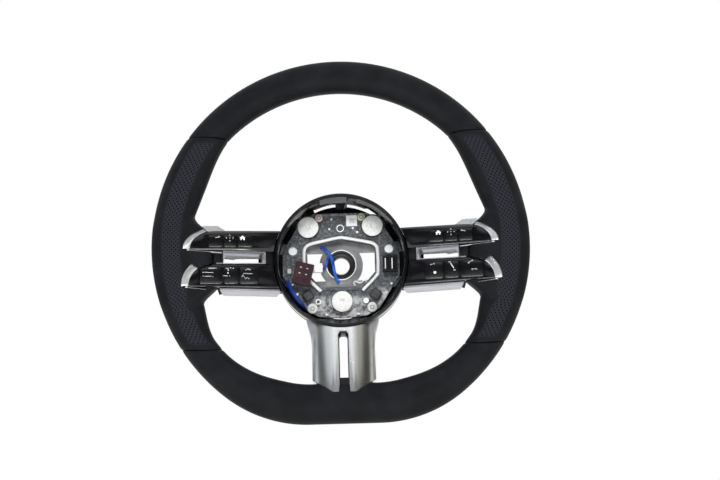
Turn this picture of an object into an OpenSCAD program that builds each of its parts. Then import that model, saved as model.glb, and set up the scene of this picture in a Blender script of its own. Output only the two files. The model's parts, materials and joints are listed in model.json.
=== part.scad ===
// Car steering wheel with a flat-bottomed leather rim, two double side spokes,
// a forked lower spoke and an open hub pocket. Millimetres.
// X points to the driver's right, Z up, and the driver sits on the -Y side.
// The origin is on the steering column's axis, on the rear face of the hub boss.

/* [Rim] */
// Outside radius of the round part of the rim
rim_radius = 185; // [182:0.5:190]
// Thickness of the rim across its face, at the top
rim_grip = 32; // [30:0.5:34]
// Thickness of the rim across its face, at the flat bottom
base_grip = 40; // [38:0.5:42]
// Thickness of the rim from front to back
rim_depth = 30; // [28:0.5:32]
// Depth by which the flat bottom is cut into the round
flat_cut = 12; // [9:0.5:14]
// Radius of the two bottom corners
corner_radius = 130; // [124:1:136]
// Extra thickness of the grip at the thumb swelling above the side spokes
thumb_swell = 8.5; // [6:0.5:10]
// Thickness of the leather
leather_thick = 1.2; // [1:0.1:1.5]
// Height of the upper leather seams above the round part's centre
upper_seam = 111; // [105:1:117]
// Depth of the lower leather seams below the round part's centre
lower_seam = 98; // [94:1:104]
// Radius of the frame's ring section in the rim
ring_size = 12; // [10:0.5:14]

/* [Dish] */
// Distance from the boss's rear face forward to the rim's middle plane
rim_plane = 74; // [72:0.5:76]
// Height of the round part's centre above the column's axis
rim_rise = 12; // [10:0.5:14]
// Distance from the boss's rear face forward to the bezel's front edge
bezel_front = 66; // [65:0.5:67]
// Distance from the boss's rear face forward to the carrier plate's face
plate_front = 24; // [23.5:0.25:25]

/* [Hub] */
// Outside radius of the hub
hub_radius = 66.5; // [66:0.25:67]
// Wall of the bezel at its front edge
bezel_wall = 2.2; // [1.8:0.1:2.6]
// Wall of the rear cover
cover_wall = 2.5; // [2:0.1:3]
// Width of the rear cover's lip round its opening at the back
cover_lip = 12.5; // [11.5:0.5:14.5]
// Length of the hub boss
boss_length = 20; // [18.5:0.25:20.5]
// Outside radius of the steel sleeve's flange in the boss
boss_radius = 15.5; // [15:0.25:16]
// Radius of the bore for the steering shaft
bore_radius = 9; // [8.5:0.1:9.5]
// Radius of the counterbore for the centre bolt's head
bolt_seat_radius = 12.8; // [12.4:0.1:13.2]
// Depth of that counterbore
bolt_seat_depth = 9; // [8:0.25:10]
// Thickness of the carrier plate
plate_thick = 3; // [2.6:0.1:3.2]
// Radius of the two guide holes for the airbag module
guide_hole = 4.4; // [4:0.1:4.8]
// Distance of the two guide holes from the hub's outer edge
guide_inset = 18; // [17.5:0.25:19]
// Height of the guide holes above the column's axis
guide_height = 15; // [14:0.5:16]
// Radius of the horn pads
pad_radius = 10.5; // [9.5:0.25:11]
// Travel of the horn pads
pad_travel = 2; // [1.5:0.25:2.5]
// Diameter of the retaining wire
wire_size = 3; // [2.6:0.1:3.2]

/* [Side spokes] */
// Distance from the boss's rear face forward to the decks' faces at the hub
deck_front = 68; // [67:0.5:69]
// Angle at which the decks sweep forward towards the rim
spoke_sweep = 12.5; // [12:0.25:13]
// Height of the upper deck's top edge
deck_top = 30.3; // [29.5:0.1:31]
// Height of the upper deck's bottom edge at the hub
deck_floor = 9.2; // [9:0.1:9.6]
// Height of the lower deck's top edge
low_deck_top = -2.4; // [-3:0.1:-2]
// Height of the lower deck's bottom edge at the hub
low_deck_floor = -27; // [-27.5:0.1:-26.5]
// Thickness of the decks
deck_thick = 9; // [8:0.25:9.5]
// Depth of the spoke housings behind the decks
housing_depth = 17; // [16:0.25:18]
// Width of the silver blades at their widest
blade_width = 7.5; // [6.5:0.25:8]
// Width of the thin silver tails under the decks' outer ends
tail_width = 1; // [0.8:0.1:1.2]
// Radius of the crown across the decks' faces
crown_radius = 70; // [60:1:90]
// Travel of the keys
key_travel = 0.6; // [0.4:0.1:0.8]
// Thickness of the keys
key_thick = 4; // [3.5:0.1:4.5]
// Gap all round the keys
key_gap = 0.35; // [0.3:0.05:0.5]

/* [Paddles] */
// Thickness of the paddles
paddle_thick = 3; // [2.6:0.1:3.4]
// Distance of the paddles' tips from the rim's outer edge
paddle_inset = 52; // [50:0.5:54]
// Height of the paddles' tips
paddle_top = 39.5; // [38:0.5:41]
// Diameter of the hinge pins
pin_size = 3; // [2.6:0.1:3.2]

/* [Lower spoke] */
// Distance from the boss's rear face forward to the lower spoke's face at the hub
fork_front = 65; // [64:0.5:66]
// Distance from the boss's rear face forward to the lower spoke's face at the rim
fork_rim_front = 84.5; // [83.5:0.25:85.5]
// Half the width of the lower spoke
fork_half = 31; // [30:0.25:32]
// Depth of the lower spoke from front to back
fork_depth = 14; // [13:0.25:15]
// Half the width of the slot in the lower spoke
slot_half = 4; // [3.6:0.1:4.4]
// Depth by which the lower spoke's face falls away to its edges
fork_crown = 3.5; // [2.5:0.25:4]

/* [Hidden] */

RIGHT = 1;
LEFT = -1;
$fn = 64;

fit_gap = 0.1;      // pieces that are glued or moulded together
seat_gap = 0.3;     // panels and trims in their recesses
run_gap = 0.06;     // pins in their bores
skin_steps = 14;    // points round the rim's section

// Corner arcs of the flat bottom, from the round part's centre
flat_drop = rim_radius - flat_cut;
corner_z = corner_radius - flat_drop;
corner_x = sqrt(pow(rim_radius - corner_radius, 2) - corner_z * corner_z);
corner_start = atan2(corner_z, corner_x);
flat_start = atan2(-flat_drop, corner_x);

// Where the rim swells in to meet the side spokes
root_radius = rim_radius - 59;
root_top = asin(43.2 / rim_radius);
root_bottom = -asin(67.8 / rim_radius);

// Where the leather seams cross the rim's outer edge, and their lean to the inner edge
top_seam_angle = asin(upper_seam / rim_radius);
low_seam_angle = -asin(lower_seam / rim_radius);
seam_lean = 7.8;
seam_gap = 0.08;

// Places round one half of the rim, from the bottom to the top, close together
// where its section changes
function mix(a, b, t) = a + (b - a) * t;
function spread(from, to, n) = [for (k = [1 : n]) mix(from, to, k / (n + 1))];
low_places = concat([-90], spread(-90, low_seam_angle, 9));
grip_places = concat(
    spread(low_seam_angle, root_bottom - 1, 2),
    spread(root_bottom - 1, root_bottom + 5, 3),
    spread(root_bottom + 5, root_top - 8, 4),
    spread(root_top - 8, root_top, 3),
    spread(root_top, top_seam_angle, 5));
top_places = spread(top_seam_angle, 90, 6);

function ease(t) = let(u = max(0, min(1, t))) u * u * (3 - 2 * u);
function hump(a, middle, half) =
    let(u = (a - middle) / half) abs(u) >= 1 ? 0 : pow(1 - u * u, 2);

function corner_hit(a) =
    let(b = cos(a) * corner_x + sin(a) * corner_z,
        c = corner_x * corner_x + corner_z * corner_z - corner_radius * corner_radius)
    b + sqrt(b * b - c);
function outer_radius(a) =
    a >= corner_start ? rim_radius : a >= flat_start ? corner_hit(a) : -flat_drop / sin(a);
function grip(a) =
    mix(base_grip, rim_grip, ease((a + 68) / 28))
    + thumb_swell * hump(a, 22, 26)
    + 9 * hump(a, -17, 19);
function root(a) = ease((root_top - a) / 8) * ease((a - root_bottom) / 5);
function inner_radius(a) = mix(outer_radius(a) - grip(a), root_radius, root(a));
function lean(a) =
    seam_lean * hump(a, top_seam_angle, 30) - seam_lean * hump(a, low_seam_angle, 20);

// One point of the rim's surface. turn runs anticlockwise from the right, seen by
// the driver; u runs round the section from its outer edge over the front.
function rim_point(turn, u, inset) =
    let(side = turn <= 90 || turn > 270 ? RIGHT : LEFT,
        a = turn <= 90 ? turn : turn > 270 ? turn - 360 : 180 - turn,
        at = a + lean(a) * (1 - cos(u)) / 2,
        far = outer_radius(at) - inset,
        near = inner_radius(at) + inset,
        r = (far + near) / 2 + (far - near) / 2 * cos(u),
        half = rim_depth / 2 - inset,
        bulge = sign(sin(u)) * pow(abs(sin(u)), mix(0.86, 0.4, root(at))))
    [side * r * cos(at), -rim_plane - half * bulge, rim_rise + r * sin(at)];
function rim_ring(turn, inset) =
    [for (k = [0 : skin_steps - 1]) rim_point(turn, k * 360 / skin_steps, inset)];

function mirrored(places) = [for (k = [len(places) - 1 : -1 : 0]) 180 - places[k]];
function quads(rings, n, flip) = [
    for (j = [0 : rings - 2], k = [0 : n - 1])
        let(a = j * n + k, b = j * n + (k + 1) % n, c = b + n, d = a + n)
        flip ? [a, b, c, d] : [c, b, a, d]
];
function shifted(faces, by) = [for (f = faces) [for (i = f) i + by]];
// Every four-sided face becomes two triangles, so that it is flat
function split(faces) = [for (f = faces, t = [[f[0], f[1], f[2]], [f[0], f[2], f[3]]]) t];

// A closed band of leather along the rim between two seams
module rim_skin(places) {
    n = skin_steps;
    m = len(places);
    outer = [for (t = places) each rim_ring(t, 0)];
    inner = [for (t = places) each rim_ring(t, leather_thick)];
    first = [for (k = [0 : n - 1]) [k, (k + 1) % n, n * m + (k + 1) % n, n * m + k]];
    last = [for (k = [0 : n - 1])
        let(a = n * (m - 1) + k, b = n * (m - 1) + (k + 1) % n)
        [b, a, n * m + a, n * m + b]];
    polyhedron(
        points = concat(outer, inner),
        faces = split(concat(
            quads(m, n, false), shifted(quads(m, n, true), n * m), first, last)));
}

// The closed ring under the leather
module rim_core(inset) {
    n = skin_steps;
    half = concat(low_places, [low_seam_angle], grip_places, [top_seam_angle], top_places);
    places = concat(half, [90], [for (t = mirrored(half)) if (t < 270) t]);
    m = len(places);
    points = [for (t = places) each rim_ring(t, inset)];
    closing = [for (k = [0 : n - 1])
        let(a = (m - 1) * n + k, b = (m - 1) * n + (k + 1) % n)
        [k, (k + 1) % n, b, a]];
    polyhedron(points = points, faces = split(concat(quads(m, n, false), closing)));
}

// Extrudes a shape drawn in X and Z from one depth to another
module slab(from, to) {
    translate([0, to, 0]) rotate([90, 0, 0]) linear_extrude(height = to - from) children();
}
// Extrudes a shape drawn in Y and Z from one X to another
module along_x(from, to) {
    translate([from, 0, 0]) rotate([90, 0, 90]) linear_extrude(height = to - from) children();
}
module rod_y(r, from, to) {
    translate([0, to, 0]) rotate([90, 0, 0]) cylinder(r = r, h = to - from);
}
module both_sides() {
    children();
    mirror([1, 0, 0]) children();
}
module on_side(side) {
    if (side == LEFT) mirror([1, 0, 0]) children();
    else children();
}
function round_rect(w, h, r) = [
    for (q = [0 : 3], s = [0 : 4])
        let(cx = (q == 0 || q == 3 ? 1 : -1) * (w / 2 - r),
            cz = (q < 2 ? 1 : -1) * (h / 2 - r),
            a = q * 90 + s * 22.5)
        [cx + r * cos(a), cz + r * sin(a)]
];

// Frame of a side spoke: X outward along the decks, Y rearward from their faces, Z up
spoke_x = 65;
module on_spoke() {
    translate([spoke_x, -deck_front, 0]) rotate([0, 0, -spoke_sweep]) children();
}
function along(x) = (x - spoke_x) / cos(spoke_sweep);

// Frame of the lower spoke: Z up along its face, Y rearward
fork_z = 3.5 - hub_radius;
fork_tip_z = rim_rise - flat_drop + base_grip - 9.8;
fork_sweep = atan2(fork_rim_front - fork_front, fork_z - fork_tip_z);
module on_fork() {
    translate([0, -fork_front, fork_z]) rotate([-fork_sweep, 0, 0]) children();
}

// The ring in the rim: a channel section, open to the back
ring_offset = rim_grip / 2 + 1;
ring_radius = rim_radius - ring_offset;
groove = ring_size / 2 - 1;
module rim_outline(inset) {
    hull() {
        intersection() {
            circle(r = rim_radius - inset, $fn = 96);
            translate([-rim_radius, rim_radius * sin(corner_start)]) square(2 * rim_radius);
        }
        both_sides() translate([corner_x, corner_z]) circle(r = corner_radius - inset, $fn = 96);
    }
}
module rim_band(width) {
    difference() {
        rim_outline(ring_offset - width / 2);
        rim_outline(ring_offset + width / 2);
    }
}
module rim_ring_bar(grow) {
    half = ring_size / 2 + grow;
    translate([0, -rim_plane, rim_rise]) difference() {
        slab(-half, half) rim_band(2 * half);
        slab(4 - ring_size / 2 + grow, half + 1) rim_band(groove - 2 * grow);
    }
}

// Bars of the frame: two in each side spoke, seen from above, and two in the lower
// spoke, seen from the side
bar_height = 10;
upper_bar = 13;
lower_bar = -23;
riser_in = hub_radius + 2;
riser_out = riser_in + 11;
module spoke_bar(z, grow) {
    ring_x = ring_radius - 3;
    neck_x = rim_radius - 65;
    translate([0, 0, z - grow]) linear_extrude(height = bar_height + 2 * grow) polygon([
        [40, -9 + grow], [riser_in, -9 + grow], [riser_out + grow, -22 + grow],
        [riser_out + grow, -50 + grow], [neck_x, -61 + grow],
        [ring_x, -rim_plane + 5 + grow], [ring_x, -rim_plane - 5 - grow],
        [neck_x, -69 - grow], [riser_in - grow, -57 - grow], [riser_in - grow, -19 - grow],
        [40, -19 - grow]
    ]);
}
fork_bar_in = 9;
fork_bar_width = 9;
module fork_bar(grow) {
    ring_z = rim_rise - flat_drop + ring_offset;
    along_x(fork_bar_in - grow, fork_bar_in + fork_bar_width + grow) polygon([
        [-9 + grow, -20], [-9 + grow, -riser_in], [-22 + grow, -riser_out - grow],
        [-57 + grow, -riser_out - grow], [-rim_plane + grow, ring_z],
        [-rim_plane - 6 - grow, ring_z], [-64 - grow, -riser_in + grow],
        [-19 - grow, -riser_in + grow], [-19 - grow, -20]
    ]);
}

// Screw posts of the carrier plate
post_radius = 5;
function in_hub(inset, angle) = (hub_radius - inset) * [cos(angle), sin(angle)];
post_places = [in_hub(13.9, 114.1), in_hub(13.9, 65.9), in_hub(13.2, -124.3), in_hub(13.2, -55.7)];
post_heads = [4, 4, 5.2, 5.2];
module web_arm(to) {
    angle = atan2(to[1], to[0]);
    rotate(angle) translate([8, -4]) square([norm(to) - 8, 8]);
}
web_half = 50;
module hub_web() {
    circle(r = 22);
    translate([-16, -30]) square([32, 58]);
    translate([-web_half, upper_bar]) square([2 * web_half, bar_height + 3]);
    translate([-web_half, lower_bar - 4]) square([2 * web_half, bar_height + 1]);
    for (p = post_places) web_arm(p);
    translate([-fork_bar_in - fork_bar_width, -44]) square([2 * (fork_bar_in + fork_bar_width), 20]);
}
web_front = plate_front - plate_thick - 3;
module armature() color("#8d9094") difference() {
    union() {
        rim_ring_bar(0);
        both_sides() {
            spoke_bar(upper_bar, 0);
            spoke_bar(lower_bar, 0);
            fork_bar(0);
        }
        slab(-web_front - 1, -9) hub_web();
        rod_y(boss_radius + 4.5, -boss_length, 0);
        for (p = post_places) translate([p[0], 0, p[1]])
            rod_y(post_radius, -plate_front + plate_thick, -9);
    }
    rod_y(boss_radius + fit_gap / 2, -boss_length - 1, -boss_length + 6);
    rod_y(boss_radius - 2 + fit_gap / 2, -boss_length, 1);
    for (p = post_places) translate([p[0], 0, p[1]])
        rod_y(2, -plate_front + plate_thick - 1, -12);
    for (i = [0 : 2]) at_pad(i) rod_y(stem_radius + 2, -plate_front, -14);
}

// Steel sleeve in the boss, with a flange at the front, the centre bolt's seat and
// the splined bore's plain lead
module hub_sleeve() color("#b9bbbd") difference() {
    union() {
        rod_y(boss_radius, -boss_length, -boss_length + 6);
        rod_y(boss_radius - 2, -boss_length, 0);
    }
    rod_y(bolt_seat_radius, -boss_length - 1, -boss_length + bolt_seat_depth);
    rod_y(bore_radius, -boss_length - 1, 1);
}

// Outlines of the decks, in the spoke's frame
end_steps = 10;
deck_end_floor = 11.4;
upper_end = [along(rim_radius - 65), 12, 26.5 / cos(spoke_sweep), deck_top - 12];
lower_end = [along(rim_radius - 61), -24.5, 24.5 / cos(spoke_sweep), low_deck_top + 24.5];
function end_curve(e, grow, from, to) = [
    for (k = [0 : end_steps])
        let(a = mix(from, to, k / end_steps))
        [e[0] + (e[2] + grow) * cos(a), e[1] + (e[3] + grow) * sin(a)]
];
module upper_deck_outline(grow = 0) {
    polygon(concat(
        [[-10, deck_floor - grow], [-10, deck_top + grow]],
        end_curve(upper_end, grow, 90, 0),
        [[upper_end[0] + upper_end[2] - 2, deck_end_floor - grow]]));
}
module lower_deck_outline(grow = 0) {
    polygon(concat(
        [[-10, low_deck_floor - grow], [-10, low_deck_top + grow]],
        end_curve(lower_end, grow, 90, 0),
        [[lower_end[0] + lower_end[2] - 2.5, -24.9 - grow]]));
}
// Silver blades round the decks' outer ends
module upper_blade_outline(grow = 0) {
    w = blade_width;
    polygon(concat(
        end_curve(upper_end, seat_gap - grow, 6, 68 + 4 * grow),
        [for (k = [end_steps : -1 : 0])
            let(a = mix(0, 66 + 4 * grow, k / end_steps))
            [upper_end[0] + (upper_end[2] + w + grow) * cos(a),
             upper_end[1] + (upper_end[3] + w * 0.42 + grow) * sin(a)]],
        [[upper_end[0] + upper_end[2] + seat_gap, upper_end[1] + 0.2 - grow]]));
}
module lower_blade_outline(grow = 0) {
    w = blade_width;
    polygon(concat(
        end_curve(lower_end, seat_gap - grow, 6, 64 + 4 * grow),
        [for (k = [end_steps : -1 : 0])
            let(a = mix(0, 48 + 3 * grow, k / end_steps))
            [lower_end[0] + (lower_end[2] + w + grow) * cos(a),
             lower_end[1] + (lower_end[3] + w * 1.15 + grow) * sin(a)]],
        [[lower_end[0] + lower_end[2] + seat_gap, lower_end[1] + 0.3 - grow]]));
}
blade_thick = 7;
// Thin tails that run in from the blades' tips under the decks
tail_front = 1;
upper_tail_in = along(rim_radius - 69);
lower_tail_in = along(rim_radius - 53);
upper_tail = [[upper_tail_in, deck_bottom(upper_tail_in) - tail_width - 1.5],
    [upper_end[0] + upper_end[2] + seat_gap, upper_end[1] - 0.7]];
lower_tail = [[lower_tail_in, low_deck_floor - tail_width - 0.1],
    [lower_end[0] + lower_end[2] + seat_gap, lower_end[1] - 0.7]];
module tail_outline(tail, lift = 0) {
    w = tail_width;
    inner = tail[0];
    tip = tail[1];
    corner = lift > 0 ? [tip + [-lift, 1.2]] : [tip + [0, 1.2], tip];
    polygon(concat([inner, tip - [0, w], tip + [3, -w], tip + [3, 1.2]], corner, [inner + [0, w + lift]]));
}
module spoke_pocket() {
    slab(-30, deck_thick + seat_gap) {
        upper_deck_outline(seat_gap);
        lower_deck_outline(seat_gap);
    }
    slab(-30, blade_thick + seat_gap) {
        upper_blade_outline(seat_gap);
        lower_blade_outline(seat_gap);
        for (tail = [upper_tail, lower_tail]) offset(delta = seat_gap) tail_outline(tail, 3);
    }
}
module fork_pocket() {
    slab(-30, fork_depth + seat_gap) fork_outline(seat_gap);
}

// Moulded foam of the rim, round the frame's ring and the ends of its bars
module rim_foam() color("#2b2b2d") difference() {
    rim_core(leather_thick + fit_gap);
    rim_ring_bar(fit_gap);
    both_sides() {
        spoke_bar(upper_bar, fit_gap);
        spoke_bar(lower_bar, fit_gap);
        fork_bar(fit_gap);
        on_spoke() spoke_pocket();
    }
    on_fork() fork_pocket();
}

module leather_grip(side) color("#2a2a2c") difference() {
    places = concat([low_seam_angle + seam_gap], grip_places, [top_seam_angle - seam_gap]);
    rim_skin(side == RIGHT ? places : mirrored(places));
    on_side(side) {
        on_spoke() spoke_pocket();
        spoke_bar(upper_bar, seat_gap);
        spoke_bar(lower_bar, seat_gap);
    }
}
module leather_top() color("#1f1f21") {
    half = concat([top_seam_angle + seam_gap], top_places);
    rim_skin(concat(half, [90], mirrored(half)));
}
module leather_bottom() color("#1f1f21") difference() {
    half = concat(low_places, [low_seam_angle - seam_gap]);
    rim_skin(concat(
        [for (t = mirrored(half)) if (t < 270) t], [270],
        [for (t = half) if (t > -90) t + 360]));
    both_sides() fork_bar(seat_gap);
    on_fork() fork_pocket();
}

// Gloss black ring round the hub pocket
// Corners of the pocket's floor: how far in from the hub's edge, and their angle
pocket_corners = [[6.5, 62], [6.5, 44], [4.9, 13], [5.3, -11], [6.8, -50.5], [7.9, -65], [11, -90],
    [7.9, -115], [6.8, -129.5], [5.3, -169], [4.9, 167], [6.5, 136], [6.5, 118]];
function octagon(grow) = [
    for (c = pocket_corners) (hub_radius - c[0] + grow) * [cos(c[1]), sin(c[1])]];
bezel_rear = 34;
bezel_slots = [[0, 28], [-18.5, 5], [21, 8]];
felt_arcs = [[83, 109], [47, 75]];
module hub_bezel() color("#111214") difference() {
    rotate([90, 0, 0]) rotate_extrude() polygon([
        [hub_radius / 2, bezel_rear], [hub_radius, bezel_rear], [hub_radius, bezel_front - 2.5],
        [hub_radius - 0.8, bezel_front - 0.8], [hub_radius - 2.5, bezel_front],
        [hub_radius / 2, bezel_front]
    ]);
    hull() {
        slab(-bezel_front - 0.5, -bezel_front) circle(r = hub_radius - bezel_wall - 0.8, $fn = 48);
        slab(-bezel_front + 14, -bezel_front + 15) circle(r = hub_radius - bezel_wall - 2, $fn = 48);
    }
    hull() {
        slab(-bezel_front + 14, -bezel_front + 15) circle(r = hub_radius - bezel_wall - 2, $fn = 48);
        slab(-bezel_rear, -bezel_rear + 1) polygon(octagon(1.5));
    }
    rod_y(hub_radius - bezel_wall, -bezel_front - 1, -bezel_front + 2.5);
    for (slot = bezel_slots) translate([slot[0] - slot[1] / 2, 5 - bezel_front, -hub_radius - 1])
        cube([slot[1], 7, 13]);
}
// Felt strips glued in the top of the bezel, for the airbag module to press on
module felt_strips() color("#6b6e72") for (arc = felt_arcs)
    rotate([90, 0, 0]) rotate_extrude_from(arc[0], arc[1]) polygon([
        for (p = [[0, 4], [0, 11], [0.6, 11], [0.6, 4]])
            [hub_radius - bezel_wall - 1.35 - (p[1] - 4) / 12 - p[0], bezel_front - p[1]]
    ]);
module rotate_extrude_from(from, to) {
    rotate(from) rotate_extrude(angle = to - from) children();
}

// Black cover behind the hub, with an ear behind each spoke's root
ear_out = riser_out + cover_wall + 0.5;
ear_half = 26;
fork_ear = fork_bar_in + fork_bar_width / 2;
fork_ear_half = fork_bar_width / 2 + cover_wall + 1;
ear_rear = 5;
ear_front = 48;
lip_rear = 4;
module ear(height, wall) {
    inside = hub_radius - 11.5;
    linear_extrude(height = height) polygon([
        [inside, -ear_rear - wall], [riser_in, -ear_rear - wall], [ear_out - wall, -20],
        [ear_out - wall, -ear_front - wall], [inside, -ear_front - wall]]);
}
module fork_ears(wall) {
    both_sides() translate([fork_ear, 0, 0]) rotate([0, 90, 0])
        translate([0, 0, wall - fork_ear_half]) ear(2 * (fork_ear_half - wall), wall);
}
module rear_cover() color("#1a1a1c") difference() {
    union() {
        rotate([90, 0, 0]) rotate_extrude() polygon([
            [hub_radius - cover_lip, lip_rear], [hub_radius - 6, lip_rear], [hub_radius, 22],
            [hub_radius, bezel_rear], [hub_radius - cover_wall, bezel_rear],
            [hub_radius - cover_wall, 23], [hub_radius - 6.5, lip_rear + 4.7],
            [hub_radius - cover_lip, lip_rear + 4.7]
        ]);
        difference() {
            union() {
                both_sides() translate([0, 0, -ear_half]) ear(2 * ear_half, 0);
                fork_ears(0);
            }
            rod_y(hub_radius - cover_wall - 0.5, -60, 1);
            rod_y(hub_radius + seat_gap, -60, -bezel_rear);
            both_sides() translate([0, 0, cover_wall - ear_half])
                ear(2 * (ear_half - cover_wall), cover_wall);
            fork_ears(cover_wall);
        }
    }
    both_sides() {
        spoke_bar(upper_bar, seat_gap);
        spoke_bar(lower_bar, seat_gap);
        fork_bar(seat_gap);
        on_spoke() housing_block(seat_gap);
    }
    on_fork() slab(-20, fork_depth + seat_gap) fork_outline(seat_gap);
}

// Plate in the hub pocket that carries the horn pads and the electrical parts
window_side = hub_radius - 32.5;
function both_halves(half) =
    concat([for (c = half) in_hub(c[0], c[1])],
        [for (k = [len(half) - 1 : -1 : 0]) if (half[k][1] < 90) in_hub(half[k][0], 180 - half[k][1])]);
module plate_window() {
    polygon(both_halves([[35.3, -50.2], [31.6, -13.2], [29.3, 23.8], [31, 32.3], [42, 90]]));
}
pad_places = [in_hub(16.5, 130.5), in_hub(16.5, 49.5), in_hub(28.5, -90)];
stem_radius = 3;
module at_pad(i) {
    translate([pad_places[i][0], 0, pad_places[i][1]]) children();
}
rib_height = 1.6;
// Moulded details of the plate: a ring and an oval recess above the window, two studs
// beside the lower pad, heat stakes, and a clip at the left
ring_height = hub_radius - 29.7;
recess_height = hub_radius - 19.3;
stud_x = 24;
stud_z = 29.2 - hub_radius;
stake_radius = 1;
stake_places = [in_hub(19.3, 100.6), in_hub(28.4, 107), in_hub(27.5, 71), in_hub(29.6, 62.5),
    in_hub(13.4, -158.7), in_hub(12.9, -147), in_hub(12.2, -22.2), in_hub(12.2, -33),
    in_hub(13.6, -107.7), in_hub(13.6, -72.3)];
module on_plate(z) {
    translate([0, 0, z]) children();
}
module carrier_plate() color("#5d6063") difference() {
    union() {
        slab(-plate_front, -plate_front + plate_thick) polygon(octagon(-1));
        slab(-plate_front - rib_height, -plate_front + 1) difference() {
            polygon(octagon(-1));
            polygon(octagon(-2.8));
        }
        slab(-plate_front - rib_height, -plate_front + 1) difference() {
            offset(delta = 2) plate_window();
            plate_window();
        }
        for (i = [0 : 2]) at_pad(i)
            rod_y(pad_radius + 2, -plate_front - rib_height, -plate_front + 1);
        for (s = [RIGHT, LEFT]) translate([s * (hub_radius - guide_inset), 0, guide_height])
            rod_y(guide_hole + 1.8, -plate_front - rib_height, -plate_front + 1);
        on_plate(ring_height) rod_y(4, -plate_front - rib_height, -plate_front + 1);
        for (s = [RIGHT, LEFT]) translate([s * stud_x, 0, stud_z])
            rod_y(3, -plate_front - rib_height, -plate_front + 1);
        for (p = stake_places) translate([p[0], 0, p[1]])
            rod_y(stake_radius, -plate_front - 0.8, -plate_front + 1);
        translate([11.5 - hub_radius, -plate_front - 2.4, -9]) cube([5, 3, 12]);
    }
    slab(-plate_front - 5, -plate_front + plate_thick + 1) plate_window();
    for (i = [0 : 2]) at_pad(i) {
        rod_y(pad_radius + seat_gap + 0.4, -plate_front - 5, -plate_front);
        rod_y(stem_radius + seat_gap, -plate_front - 5, 0);
    }
    for (s = [RIGHT, LEFT]) translate([s * (hub_radius - guide_inset), 0, guide_height])
        rod_y(guide_hole, -plate_front - 5, 0);
    for (i = [0 : 3]) translate([post_places[i][0], 0, post_places[i][1]]) {
        rod_y(2.2, -plate_front - 5, 0);
        rod_y(post_heads[i] + seat_gap, -plate_front - 5, -plate_front);
    }
    on_plate(ring_height) rod_y(2.7, -plate_front - 5, -plate_front + 1);
    on_plate(recess_height) slab(-plate_front - 1, -plate_front + 1) difference() {
        polygon(round_rect(12, 6, 2.9));
        square([0.8, 6], center = true);
        translate([-6, -0.4]) square([12, 0.8]);
    }
    translate([-stud_x, 0, stud_z]) rod_y(1.6, -plate_front - 5, -plate_front + 1);
}
module carrier_screws() color("#d8d9da")
    for (i = [0 : 3]) translate([post_places[i][0], 0, post_places[i][1]]) {
        rod_y(post_heads[i], -plate_front - 2.6, -plate_front);
        rod_y(1.9, -plate_front - 1, -13);
    }

// Sprung horn pads: a disc on a stem that slides through the plate
pad_height = 3;
pad_face = plate_front + rib_height + pad_travel + 0.4 + pad_height;
module horn_pad(i) color("#dcdddc") at_pad(i) difference() {
    union() {
        rod_y(pad_radius, -pad_face, -pad_face + pad_height);
        rod_y(stem_radius, -pad_face + 1, -plate_front + plate_thick + 2.2);
        rod_y(stem_radius + 1.2, -plate_front + plate_thick + 0.3, -plate_front + plate_thick + 2.2);
    }
    rod_y(2, -pad_face - 1, -pad_face + 1);
}
spring_wire = 1.1;
spring_turns = 2.5;
spring_steps = 10;
module horn_spring(i) color("#9a9c9e") {
    r = stem_radius + 2.4;
    low = -plate_front - spring_wire / 2 - 0.1;
    high = -pad_face + pad_height + spring_wire / 2 + 0.1;
    count = spring_turns * spring_steps;
    rings = [for (k = [0 : count])
        let(a = k * 360 / spring_steps, y = mix(low, high, k / count))
        for (q = [0 : 5])
            let(s = r + spring_wire / 2 * cos(q * 60))
            [s * cos(a), y + spring_wire / 2 * sin(q * 60), s * sin(a)]];
    n = 6;
    m = count + 1;
    cap_a = [[0, 1, 2], [0, 2, 3], [0, 3, 4], [0, 4, 5]];
    cap_b = [for (t = cap_a) [t[2] + n * (m - 1), t[1] + n * (m - 1), t[0] + n * (m - 1)]];
    at_pad(i) polyhedron(points = rings, faces = concat(split(quads(m, n, false)), cap_a, cap_b));
}

// Bent wire that holds the airbag module, lying on the rib round the plate's window
wire_route = both_halves([[32.3, -52.1], [28.4, -19.1], [28.1, -14.3], [26.75, 20.6], [26.3, 25.8],
    [27.65, 31.8], [30.9, 38.2], [39.3, 83.7], [39.2, 90]]);
module retainer_wire() color("#e4e5e6") {
    y = -plate_front - rib_height - wire_size / 2 - fit_gap;
    tube([for (p = wire_route) [p[0], y, p[1]]], wire_size / 2);
}

// Housing behind the decks of one spoke, round the slot between them
housing_rear = deck_thick + housing_depth;
gap_in = along(hub_radius + 8);
gap_out = along(rim_radius - 71);
liner_wall = 0.8;
function deck_bottom(x) =
    mix(deck_floor, deck_end_floor, (x + 10) / (upper_end[0] + upper_end[2] + 8));
function gap_shape(grow, drop) =
    let(margin = liner_wall + fit_gap, low = low_deck_top + margin - grow,
        near = gap_in - grow, far = gap_out + grow)
    [[near, low], [far, low], [far, deck_bottom(far) - margin + grow - drop],
     [near, deck_bottom(near) - margin + grow - drop]];
module below_decks(grow) {
    translate([0, 0, low_deck_floor - 0.3 + grow]) rotate([0, -1.5, 0]) rotate([-6, 0, 0])
        translate([-20, -10, -30]) cube([rim_radius - 45, 60, 30]);
}
module housing_block(grow) {
    along_x(-12, along(rim_radius - 55)) polygon([
        [deck_thick - grow, deck_top - 0.8 + grow], [deck_thick + 9, deck_top - 1.2 + grow],
        [housing_rear + grow, 24 + grow], [housing_rear + grow, -27 - grow],
        [deck_thick + 4, -31 - grow], [deck_thick - grow, -31 - grow]]);
}
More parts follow.
